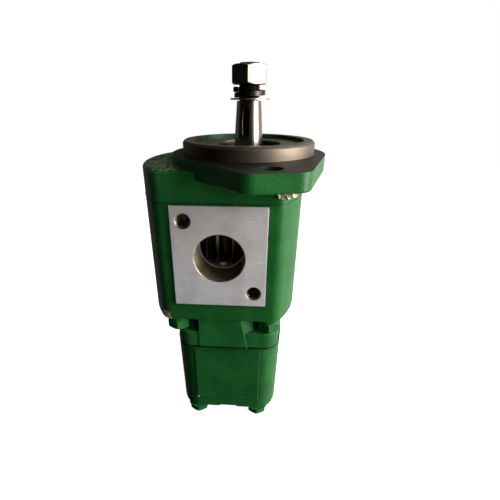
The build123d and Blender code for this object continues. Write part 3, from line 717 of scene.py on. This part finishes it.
@dataclass(frozen=True)
class Metal:
    """A bare metal with fine marks from its cutting or grinding, tinted by oil and age."""

    name: str
    colour: Colour
    tarnish: Colour
    roughness: float = 0.28
    streak: tuple[float, float, float] = (1.0, 1.0, 0.06)
    mark_size: float = 0.6
    relief: float = 0.02
    tarnish_size: float = 6.0
    tarnish_share: float = 0.5
    metallic: float = 1.0
    edge_radius: float = 0.25
    # dark colour for old oil, and on the shaft for the painted shade in the keyway
    oily_and_shaded: Colour = shade(0.03, 0.03, 0.03)

    def soiled_and_shaded(self, shader: Shader) -> Wire:
        """Where old oil has blackened the metal, from 0 to 1."""
        return shader.noise(11, 3).rise(0.70, 0.80) * 0.5

    def build(self) -> bpy.types.Material:
        """Builds the material.

        Returns:
            The metal's material.
        """
        shader = Shader(self.name)
        rounded, edge = shader.edges(self.edge_radius)
        long = shader.stretched(*self.streak)
        marks = shader.noise(self.mark_size, 3, 0.6, long)
        old = shader.noise(self.tarnish_size, 4, 0.6, long).rise(0.38, 0.70) * self.tarnish_share
        colour = shader.blend(marks * 0.35, self.colour, self.tarnish)
        colour = shader.blend(old, colour, self.tarnish)
        worn = shader.blend(edge * 0.2, colour, tuple(min(1.0, value * 1.5) for value in self.colour))
        shader.set(
            # blackened by old oil, and on the shaft darkened as painted shade in the keyway
            Base_Color=shader.blend(self.soiled_and_shaded(shader), worn, self.oily_and_shaded),
            Metallic=self.metallic,
            Roughness=marks * 0.10 + old * 0.08 + (self.roughness - 0.07) + self.soiled_and_shaded(shader) * 0.25,
            Normal=shader.relief(marks, self.relief, rounded),
        )
        return shader.material


@dataclass(frozen=True)
class ShaftSteel(Metal):
    """Ground steel, with painted shade in the keyway and a blackened thread."""

    taper_foot: float = 4.0 * MM
    foot_radius: float = 11.1 * MM
    slope: float = 1.0 / 16.0
    slot_depth: float = 0.3 * MM
    slot_ends: tuple[float, float] = (11.0 * MM, 33.0 * MM)
    thread_foot: float = 36.7 * MM
    # near-black for the painted shade in the keyway and the blackened thread
    oily_and_shaded: Colour = shade(0.030, 0.024, 0.020)

    def soiled_and_shaded(self, shader: Shader) -> Wire:
        """1 inside the keyway, where shade is painted, and over the thread.

        Args:
            shader: the material under construction.

        Returns:
            The mask.
        """
        level = shader.axis(Along.Z)
        sunk = self.foot_radius - (level - self.taper_foot) * self.slope - shader.radius()
        low, high = self.slot_ends
        within = level.rise(low - MM, low) * level.rise(high + MM, high)
        # painted shade: the whole keyway slot darkened
        slot = sunk.rise(self.slot_depth * 0.6, self.slot_depth) * within
        return slot.at_least(level.rise(self.thread_foot - 0.2 * MM, self.thread_foot))


@dataclass(frozen=True)
class Rubber:
    """Oil-wetted black seal rubber with a faint moulding grain."""

    name: str
    colour: Colour = shade(0.012, 0.012, 0.013)
    dusty: Colour = shade(0.035, 0.033, 0.030)

    def build(self) -> bpy.types.Material:
        """Builds the rubber's material.

        Returns:
            The material.
        """
        shader = Shader(self.name)
        grain = shader.noise(0.4, 3)
        shader.set(
            Base_Color=shader.blend(shader.noise(4, 3).rise(0.45, 0.75), self.colour, self.dusty),
            Roughness=grain * 0.25 + 0.38,
            Normal=shader.relief(grain, 0.03),
        )
        return shader.material


@dataclass(frozen=True)
class Flake:
    """Cream underside of paint and filler that has lifted."""

    name: str
    colour: Colour = shade(0.80, 0.74, 0.50)
    stain: Colour = shade(0.30, 0.33, 0.14)

    def build(self) -> bpy.types.Material:
        """Builds the flake's material.

        Returns:
            The material.
        """
        shader = Shader(self.name)
        mottle = shader.noise(1.2, 4, 0.6)
        shader.set(
            Base_Color=shader.blend(mottle.rise(0.5, 0.75), self.colour, self.stain),
            Roughness=mottle * 0.2 + 0.4,
            Normal=shader.relief(mottle, 0.15),
        )
        return shader.material


# ---- modelling


class Bench:
    """Modelling by operators, as by hand, one piece at a time."""

    @staticmethod
    def clear() -> None:
        """Leaves edit mode and deselects everything."""
        if bpy.context.object and bpy.context.object.mode != "OBJECT":
            bpy.ops.object.mode_set(mode="OBJECT")
        bpy.ops.object.select_all(action="DESELECT")

    @staticmethod
    def named(name: str) -> bpy.types.Object:
        """Names the active object and its mesh.

        Args:
            name: the new name.

        Returns:
            The active object.
        """
        piece = bpy.context.object
        piece.name = name
        piece.data.name = name
        return piece

    @staticmethod
    def only(piece: bpy.types.Object) -> None:
        """Selects one piece and makes it active.

        Args:
            piece: the object to select.
        """
        Bench.clear()
        piece.select_set(True)
        bpy.context.view_layer.objects.active = piece

    @staticmethod
    def modify(piece: bpy.types.Object, kind: str, **settings: Any) -> None:
        """Adds a modifier and applies it.

        Args:
            piece: the object to change.
            kind: the modifier's type.
            settings: the modifier's values.
        """
        Bench.only(piece)
        modifier = piece.modifiers.new(kind.title(), kind)
        for name, value in settings.items():
            setattr(modifier, name, value)
        bpy.ops.object.modifier_apply(modifier=modifier.name)

    @staticmethod
    def settle(piece: bpy.types.Object) -> None:
        """Moves the piece's place into its mesh."""
        Bench.only(piece)
        bpy.ops.object.transform_apply(location=True, rotation=True, scale=True)

    @staticmethod
    def join(pieces: Sequence[bpy.types.Object], name: str) -> bpy.types.Object:
        """Joins pieces into one object.

        Args:
            pieces: the objects to join.
            name: the name of the result.

        Returns:
            The joined object.
        """
        Bench.clear()
        for piece in pieces:
            piece.select_set(True)
        bpy.context.view_layer.objects.active = pieces[0]
        if len(pieces) > 1:
            bpy.ops.object.join()
        return Bench.named(name)

    @staticmethod
    def finish(piece: bpy.types.Object, material: bpy.types.Material, smooth: float) -> None:
        """Shades the piece, gives it its finish and its body.

        Args:
            piece: the finished mesh.
            material: its finish.
            smooth: the angle in degrees under which faces are shaded smooth.
        """
        Bench.settle(piece)
        bpy.ops.object.mode_set(mode="EDIT")
        bpy.ops.mesh.select_all(action="SELECT")
        bpy.ops.mesh.remove_doubles(threshold=1e-7)
        bpy.ops.mesh.normals_make_consistent(inside=False)
        bpy.ops.object.mode_set(mode="OBJECT")
        bpy.ops.object.shade_smooth_by_angle(angle=math.radians(smooth))
        piece.data.materials.clear()
        piece.data.materials.append(material)
        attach(piece, Body.HOUSING.value)
        LOG.info("%s: %d faces", piece.name, len(piece.data.polygons))
        Bench.clear()


def mount(name: str) -> dict[str, Any]:
    """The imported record's mount of that name."""
    return next(item for item in frame["record"]["mounts"] if item["name"] == name)


# ---- assemblies


@dataclass
class TappedHoles:
    """Cut threads on the walls of the tapped holes in one port face."""

    name: str
    centre: Vector
    outwards: int
    offsets: tuple[tuple[float, float], ...]
    radius: float
    pitch: float = 1.75 * MM
    length: float = 14.0 * MM
    depth: float = 0.55 * MM
    lead_in: float = 1.2 * MM
    steps: int = 24

    def build(self, material: bpy.types.Material) -> None:
        """Builds one thread per hole.

        Args:
            material: the finish of the cut metal.
        """
        threads = [self.thread(x, z) for x, z in self.offsets]
        Bench.finish(Bench.join(threads, self.name), material, 50.0)

    def thread(self, x: float, z: float) -> bpy.types.Object:
        """One helical ridge, screwed from a triangle.

        Args:
            x: the hole's offset from the port's centre across X.
            z: its offset across Z.

        Returns:
            The ridge in its place.
        """
        Bench.clear()
        bpy.ops.mesh.primitive_circle_add(vertices=3, radius=self.depth, fill_type="NGON")
        ridge = Bench.named(f"{self.name}_ridge")
        bpy.ops.object.mode_set(mode="EDIT")
        bpy.ops.mesh.select_all(action="SELECT")
        bpy.ops.transform.rotate(value=math.radians(90), orient_axis="X", center_override=(0, 0, 0))
        bpy.ops.transform.rotate(value=math.radians(90), orient_axis="Y", center_override=(0, 0, 0))
        bpy.ops.transform.translate(value=(self.radius + 0.1 * MM, 0, 0))
        bpy.ops.object.mode_set(mode="OBJECT")
        turns = int(self.length / self.pitch)
        Bench.modify(
            ridge, "SCREW", angle=math.tau, screw_offset=self.pitch, iterations=turns, steps=self.steps,
            render_steps=self.steps, use_merge_vertices=True, merge_threshold=1e-6,
        )
        ridge.rotation_euler = (math.radians(90 * self.outwards), 0, 0)
        ridge.location = self.centre + Vector((x, -self.outwards * self.lead_in, z))
        Bench.settle(ridge)
        return ridge


@dataclass
class JointBead:
    """Sealant and paint squeezed out along the joint between two castings."""

    name: str
    node: str
    above: float = 0.12 * MM
    radius: float = 0.32 * MM

    def build(self, material: bpy.types.Material) -> None:
        """Builds the bead round the casting's outline at the joint.

        Args:
            material: the bead's finish.
        """
        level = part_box(self.node)[0].z + self.above
        Bench.only(frame["nodes"][self.node])
        bpy.ops.object.duplicate()
        copy = Bench.named(self.name)
        for key in list(copy.keys()):
            del copy[key]
        copy.parent = None
        bpy.ops.object.mode_set(mode="EDIT")
        bpy.ops.mesh.select_all(action="SELECT")
        bpy.ops.mesh.remove_doubles(threshold=1e-6)
        bpy.ops.mesh.select_all(action="SELECT")
        bpy.ops.mesh.bisect(plane_co=(0, 0, level), plane_no=(0, 0, 1), clear_inner=True, clear_outer=True)
        bpy.ops.mesh.separate(type="LOOSE")
        bpy.ops.object.mode_set(mode="OBJECT")
        loops = sorted(bpy.context.selected_objects, key=lambda piece: piece.dimensions.x)
        outline = loops.pop()
        for piece in loops:
            bpy.data.objects.remove(piece)
        Bench.only(outline)
        bpy.ops.object.convert(target="CURVE")
        outline.data.bevel_depth = self.radius
        outline.data.bevel_resolution = 2
        bpy.ops.object.convert(target="MESH")
        Bench.finish(Bench.named(self.name), material, 60.0)


@dataclass
class LiftedPaint:
    """Curled flakes of paint and filler under the flange's lobe."""

    centre: Vector
    count: int = 4
    size: float = 5.4 * MM
    spread: Vector = field(default_factory=lambda: Vector((4.6, 0.5, 1.2)) * MM)
    thickness: float = 0.28 * MM
    seed: int = 11

    def build(self, material: bpy.types.Material) -> None:
        """Builds the flakes as one piece.

        Args:
            material: the flakes' finish.
        """
        rng = random.Random(self.seed)
        flakes = [self.flake(rng, index) for index in range(self.count)]
        Bench.finish(Bench.join(flakes, "lifted_paint"), material, 60.0)

    def flake(self, rng: random.Random, index: int) -> bpy.types.Object:
        """One curled, torn sheet.

        Args:
            rng: the seeded source of its unevenness.
            index: the flake's number, which spreads the flakes along X.

        Returns:
            The flake in its place.
        """
        Bench.clear()
        bpy.ops.mesh.primitive_grid_add(x_subdivisions=7, y_subdivisions=7, size=self.size)
        flake = Bench.named(f"flake_{index}")
        curl = rng.uniform(0.5, 1.2)
        for vertex in flake.data.vertices:
            across = vertex.co.x / self.size
            along = vertex.co.y / self.size
            torn = 1.0 - 0.35 * rng.random() * (abs(across) + abs(along))
            lift = curl * (across * across + 0.6 * along * across) * self.size
            stretch = rng.uniform(0.8, 1.15)
            vertex.co = Vector((vertex.co.x * torn * stretch, vertex.co.y * torn * 0.7, lift))
        Bench.modify(flake, "SOLIDIFY", thickness=self.thickness, offset=0.0)
        Bench.modify(flake, "SUBSURF", levels=1, render_levels=1)
        share = index / max(1, self.count - 1) * 2 - 1
        lean = math.radians(90 + rng.uniform(-35, 35))
        flake.rotation_euler = (lean, rng.uniform(-0.6, 0.6), rng.uniform(-0.5, 0.5))
        jitter = Vector((0.0, rng.uniform(-1, 1) * self.spread.y, rng.uniform(-1, 1) * self.spread.z))
        flake.location = self.centre + Vector((share * self.spread.x, 0, 0)) + jitter
        Bench.settle(flake)
        return flake


def scars(*spots: tuple[float, float, float, float]) -> tuple[Scar, ...]:
    """Scars from their centres and radii, in millimetres."""
    return tuple(Scar((x * MM, y * MM, z * MM), radius * MM) for x, y, z, radius in spots)


@dataclass
class Castings:
    """The three castings and their finishes."""

    body_scars: tuple[Scar, ...] = scars(
        (-64.5, -44.5, -124.5, 4.6), (-61.0, -47.5, -127.5, 1.4), (39.0, -45.5, -120.5, 1.5)
    )
    cover_scars: tuple[Scar, ...] = scars(
        (35.5, -84.5, -10.8, 1.8), (21.2, -88.4, -11.0, 1.2), (29.9, -88.4, -10.6, 0.9)
    )
    rear_scars: tuple[Scar, ...] = scars((-42.5, -41.5, -221.5, 1.1))
    port_bolts: tuple[tuple[str, str], ...] = (
        ("suction_port", "suction_flange_bolts"), ("front_outlet_port", "front_outlet_bolts")
    )
    tap_margin: float = 1.02 * MM
    front_chamber_x: float = -19.05 * MM
    front_chamber: float = 43.5 * MM
    rear_chamber: float = 38.0 * MM
    front_foot: float = -127 * MM
    rear_foot: float = -222 * MM
    rear_joint: float = -157 * MM
    inlet_taps: tuple[tuple[float, float], ...] = ((-26.2 * MM, 29.2 * MM), (26.2 * MM, -29.2 * MM))

    @property
    def taps(self) -> dict[str, tuple[tuple[float, float], ...]]:
        """The tapped holes' offsets from their port, across X and Z.

        Returns:
            The offsets by mount.
        """
        dims = mount("front_outlet_bolts")["dims"]
        half_x = dims["spacing_x_mm"] / 2 * MM
        half_z = dims["spacing_y_mm"] / 2 * MM
        outlet = tuple((x, z) for x in (-half_x, half_x) for z in (-half_z, half_z))
        return {"suction_flange_bolts": self.inlet_taps, "front_outlet_bolts": outlet}

    @property
    def seams(self) -> tuple[tuple[float, float], ...]:
        """The level of each joint between castings, and how far the painted shade reaches from it."""
        return ((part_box("front_cover")[0].z, 0.35 * MM), (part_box("front_body")[0].z, 1.9 * MM))

    def port_zones(self) -> tuple[Zone, ...]:
        """The bare zones of the first housing: both pads, both ports and every tapped hole.

        Returns:
            The zones.
        """
        zones: list[Zone] = []
        for port, bolts in self.port_bolts:
            place = mount(port)["pos_m"]
            sign = int(round(mount(port)["axis"][1]))
            face = abs(mount(bolts)["pos_m"][1])
            near, far = sorted((0.0, sign * (face + 2 * MM)))
            radius = mount(port)["dims"]["r_mm"] * MM + self.tap_margin
            zones.append(Pad(face + 0.2 * MM, sign))
            zones.append(Bore(Along.Y, (place[0], place[2]), radius, near, far))
            tap = mount(bolts)["dims"]["hole_r_mm"] * MM + self.tap_margin
            for x, z in self.taps[bolts]:
                zones.append(Bore(Along.Y, (place[0] + x, place[2] + z), tap, near, far))
        zones.append(Bore(Along.Z, (self.front_chamber_x, 0.0), self.front_chamber, self.front_foot, 0.0))
        return tuple(zones)

    def build(self) -> dict[str, bpy.types.Material]:
        """Builds the castings' finishes.

        Returns:
            The finish of each casting, by node.
        """
        rear = mount("rear_outlet_port")
        place = rear["pos_m"]
        radius = rear["dims"]["r_mm"] * MM + self.tap_margin
        rear_zones = (
            Bore(Along.Y, (place[0], place[2]), radius, 0.0, 60 * MM),
            Bore(Along.Z, (place[0], 0.0), self.rear_chamber, self.rear_foot, self.rear_joint),
        )
        port_zones = self.port_zones()
        return {
            "front_cover": CoverEnamel("enamel_cover", (), scars=self.cover_scars, seams=self.seams).build(),
            "front_body": Enamel(
                "enamel_front_body", port_zones, scars=self.body_scars, seams=self.seams
            ).build(),
            "rear_body": Enamel(
                "enamel_rear_body", rear_zones, scars=self.rear_scars, seams=self.seams
            ).build(),
        }


@dataclass
class Finishes:
    """The finishes of every node that isn't a casting."""

    metals: tuple[Metal, ...] = (
        ShaftSteel(
            "ground_shaft", shade(0.40, 0.36, 0.315), shade(0.15, 0.115, 0.09), 0.21, relief=0.006,
            tarnish_share=0.6,
        ),
        Metal("gear_steel", shade(0.34, 0.31, 0.28), shade(0.08, 0.065, 0.05), 0.26),
        Metal("bright_nut", shade(0.66, 0.63, 0.58), shade(0.40, 0.34, 0.28), 0.14, EVEN, 3.0, 0.008),
        Metal(
            "spring_steel", shade(0.050, 0.042, 0.040), shade(0.022, 0.016, 0.014), 0.34, mark_size=1.5,
            relief=0.05,
        ),
        Metal("zinc_washer", shade(0.72, 0.69, 0.60), shade(0.45, 0.40, 0.30), 0.30, EVEN, 1.4, 0.03),
        Metal("bearing_alloy", shade(0.50, 0.50, 0.52), shade(0.28, 0.27, 0.26), 0.38),
        Metal("bush_bronze", shade(0.52, 0.33, 0.15), shade(0.26, 0.15, 0.07), 0.34),
    )

    def build(self) -> dict[str, bpy.types.Material]:
        """Builds one material per slot.

        Returns:
            The materials by slot name.
        """
        finishes = {metal.name: metal.build() for metal in self.metals}
        finishes["painted_bolt"] = Enamel("enamel_bolt", cast_depth=0.08, chip_share=0.54).build()
        finishes["seal_rubber"] = Rubber("seal_rubber").build()
        return finishes


@dataclass
class Pump:
    """The whole pump: its CAD nodes dressed and its added pieces."""

    castings: Castings = field(default_factory=Castings)
    finishes: Finishes = field(default_factory=Finishes)
    outlet_pitch: float = 1.5 * MM
    lobe: Vector = field(default_factory=lambda: Vector((29.0, -50.8, -22.0)) * MM)

    def dress(self) -> None:
        """Gives each CAD node its finish."""
        materials = self.finishes.build()
        castings = self.castings.build()
        slots = self.slots()
        for name, node in frame["nodes"].items():
            material = castings.get(name) or materials[slots[name]]
            for place in node.material_slots:
                place.material = material
            LOG.info("%s wears %s", name, material.name)

    @staticmethod
    def slots() -> dict[str, str]:
        """The record's slot of each node, read from the material it came with.

        Returns:
            The slot names by node.
        """
        names = {item["slot"] for item in frame["record"]["materials"]}
        found = {}
        for name, node in frame["nodes"].items():
            own = node.material_slots[0].material.name.split(".")[0]
            found[name] = own if own in names else "painted_casting"
        return found

    def build(self) -> None:
        """Dresses the nodes, then adds the threads, the beads and the lifted paint."""
        self.dress()
        metal = Metal("cut_thread", shade(0.50, 0.45, 0.38), shade(0.22, 0.16, 0.10), 0.28).build()
        self.holes("inlet_tap_threads", "suction_flange_bolts", -1).build(metal)
        outlet = self.holes("outlet_tap_threads", "front_outlet_bolts", 1)
        outlet.pitch = self.outlet_pitch
        outlet.build(metal)
        bead = Enamel(
            "enamel_bead", chip_share=0.58, primer=shade(0.16, 0.12, 0.05), cast_depth=0.4,
            seams=self.castings.seams,
        ).build()
        JointBead("cover_joint_bead", "front_cover").build(bead)
        JointBead("rear_joint_bead", "front_body").build(bead)
        LiftedPaint(self.lobe).build(Flake("lifted_paint").build())

    def holes(self, name: str, bolts: str, outwards: int) -> TappedHoles:
        """The tapped holes of one port face.

        Args:
            name: the name of the piece that holds their threads.
            bolts: the mount that they belong to.
            outwards: which way along Y they open, +1 or -1.

        Returns:
            The holes, not built yet.
        """
        centre = Vector(mount(bolts)["pos_m"])
        radius = mount(bolts)["dims"]["hole_r_mm"] * MM
        return TappedHoles(name, centre, outwards, self.castings.taps[bolts], radius)


# ---- studio


@dataclass
class Room:
    """The surroundings that the pump reflects: bright on the right, dim in front and on the left."""

    bright_turn: float = math.radians(110.0)
    bright_edge: tuple[float, float] = (0.20, 0.46)
    levels: tuple[float, float] = (0.022, 0.95)
    fade_edge: tuple[float, float] = (-0.2, 0.75)
    fade_levels: tuple[float, float] = (0.30, 1.0)
    behind: tuple[float, float, float] = (-0.45, 0.89, 0.0)
    behind_edge: tuple[float, float] = (0.25, 0.75)
    behind_levels: tuple[float, float] = (0.0, 0.10)
    tint: Colour = shade(1.0, 0.97, 0.92)
    paper: Colour = shade(1.0, 1.0, 1.0)

    def build(self) -> None:
        """Builds the world, which is plain white paper to the camera."""
        world = bpy.data.worlds.new("studio")
        bpy.context.scene.world = world
        world.use_nodes = True
        self.tree = world.node_tree
        self.tree.nodes.clear()
        self.ways = self.add("ShaderNodeTexCoord", {}).outputs["Generated"]
        side = (math.sin(self.bright_turn), -math.cos(self.bright_turn), 0.0)
        bright = self.towards(side, self.bright_edge, self.levels, "SMOOTHSTEP")
        fade = self.towards((1.0, 0.0, 0.0), self.fade_edge, self.fade_levels, "LINEAR")
        glow = self.towards(self.behind, self.behind_edge, self.behind_levels, "SMOOTHSTEP")
        product = self.add("ShaderNodeMath", {0: fade, 1: bright}, operation="MULTIPLY").outputs[0]
        total = self.add("ShaderNodeMath", {0: product, 1: glow}, operation="ADD").outputs[0]
        room = self.add("ShaderNodeBackground", {"Color": self.tint, "Strength": total}).outputs[0]
        paper = self.add("ShaderNodeBackground", {"Color": self.paper}).outputs[0]
        seen = self.add("ShaderNodeLightPath", {}).outputs["Is Camera Ray"]
        chosen = self.add("ShaderNodeMixShader", {0: seen, 1: room, 2: paper}).outputs[0]
        self.add("ShaderNodeOutputWorld", {"Surface": chosen})

    def add(self, kind: str, inputs: dict[Any, Any], **settings: Any) -> bpy.types.Node:
        """Adds a node.

        Args:
            kind: the node's type.
            inputs: sockets or constants by input name or number.
            settings: the node's attributes.

        Returns:
            The node.
        """
        node = self.tree.nodes.new(kind)
        for name, value in settings.items():
            setattr(node, name, value)
        for name, value in inputs.items():
            if isinstance(value, bpy.types.NodeSocket):
                self.tree.links.new(value, node.inputs[name])
            else:
                node.inputs[name].default_value = value
        return node

    def towards(
        self,
        way: tuple[float, float, float],
        edge: tuple[float, float],
        levels: tuple[float, float],
        kind: str,
    ) -> bpy.types.NodeSocket:
        """Brightness that changes with the angle to one direction.

        Args:
            way: the direction.
            edge: the cosines where the change starts and ends.
            levels: the brightness before and after the change.
            kind: the shape of the change.

        Returns:
            The brightness.
        """
        near = self.add("ShaderNodeVectorMath", {0: self.ways, 1: way}, operation="DOT_PRODUCT")
        limits = {"From Min": edge[0], "From Max": edge[1], "To Min": levels[0], "To Max": levels[1]}
        inputs = {"Value": near.outputs["Value"], **limits}
        return self.add("ShaderNodeMapRange", inputs, interpolation_type=kind).outputs[0]


@dataclass(frozen=True)
class Lamp:
    """A soft rectangular light aimed at the pump; mirrored if glossy faces may show it."""

    name: str
    place: tuple[float, float, float]
    size: tuple[float, float]
    power: float
    mirrored: bool
    target: tuple[float, float, float] = (0.0, 0.0, -0.08)

    def build(self) -> None:
        """Builds the light."""
        light = bpy.data.lights.new(self.name, "AREA")
        light.shape = "RECTANGLE"
        light.size, light.size_y = self.size
        light.energy = self.power
        light.color = (1.0, 0.985, 0.965)
        lamp = bpy.data.objects.new(self.name, light)
        bpy.context.scene.collection.objects.link(lamp)
        lamp.location = self.place
        aim = Vector(self.target) - Vector(self.place)
        lamp.rotation_euler = aim.to_track_quat("-Z", "Y").to_euler()
        lamp.visible_camera = False
        lamp.visible_glossy = self.mirrored


@dataclass
class Studio:
    """Floor, light and camera."""

    lamps: tuple[Lamp, ...] = (
        Lamp("key_light", (0.66, -0.22, 0.12), (0.45, 0.70), 14.0, True),
        Lamp("front_fill", (0.38, -0.80, 0.30), (0.42, 0.42), 2.5, False),
        Lamp("back_fill", (-0.35, 0.80, 0.50), (0.9, 0.9), 7.0, False),
    )
    camera_place: Vector = field(default_factory=lambda: Vector((7.9, -282.9, 38.0)) * MM)
    yaw: float = math.radians(-3.55)
    pitch: float = math.radians(25.59)
    roll: float = math.radians(0.14)
    lens: float = 24.75
    shift: tuple[float, float] = (0.0284, 0.026)
    floor_size: float = 8.0
    floor_paper: Colour = shade(0.55, 0.55, 0.55)
    floor_glow: float = 0.86

    def build(self, lowest: float) -> None:
        """Builds the studio.

        Args:
            lowest: the level that the pump stands on.
        """
        Room().build()
        self.floor(lowest)
        for lamp in self.lamps:
            lamp.build()
        self.camera()
        bpy.context.scene.view_settings.view_transform = "Standard"

    def floor(self, level: float) -> None:
        """A plain pale floor that the metal doesn't mirror.

        Args:
            level: the floor's height.
        """
        Bench.clear()
        bpy.ops.mesh.primitive_plane_add(size=self.floor_size, location=(0, 0, level))
        floor = Bench.named("floor")
        shader = Shader("floor_paper")
        shader.set(Base_Color=self.floor_paper, Roughness=0.9, Specular_IOR_Level=0.0)
        shader.set(Emission_Color=shade(1.0, 1.0, 1.0), Emission_Strength=self.floor_glow)
        floor.data.materials.append(shader.material)
        floor.visible_glossy = False
        floor.visible_diffuse = False
        floor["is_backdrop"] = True

    def camera(self) -> None:
        """The camera, looking down at the pump from in front."""
        data = bpy.data.cameras.new("camera")
        data.sensor_width = 36.0
        data.lens = self.lens
        data.shift_x, data.shift_y = self.shift
        data.clip_start = 0.01
        ahead = Vector((math.sin(self.yaw), math.cos(self.yaw), 0.0))
        forward = ahead * math.cos(self.pitch) - Vector((0.0, 0.0, math.sin(self.pitch)))
        right = Vector((math.cos(self.yaw), -math.sin(self.yaw), 0.0))
        up = right.cross(forward)
        turned_right = right * math.cos(self.roll) + up * math.sin(self.roll)
        turned_up = up * math.cos(self.roll) - right * math.sin(self.roll)
        turn = Matrix((turned_right, turned_up, -forward)).transposed().to_4x4()
        camera = bpy.data.objects.new("camera", data)
        bpy.context.scene.collection.objects.link(camera)
        camera.matrix_world = Matrix.Translation(self.camera_place) @ turn
        bpy.context.scene.camera = camera


def corners_of(bounds: Sequence[Sequence[float]]) -> list[list[float]]:
    """A box's two corners as plain lists."""
    return [[float(value) for value in corner] for corner in bounds]


def main() -> None:
    """Builds the pump's looks and the studio, with the floor at the bottom of the pump's box."""
    logging.basicConfig(level=logging.INFO, format="%(name)s: %(message)s")
    cad_box = corners_of(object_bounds())
    Pump().build()
    Studio().build(cad_box[0][2])


if __name__ == "__main__":
    main()
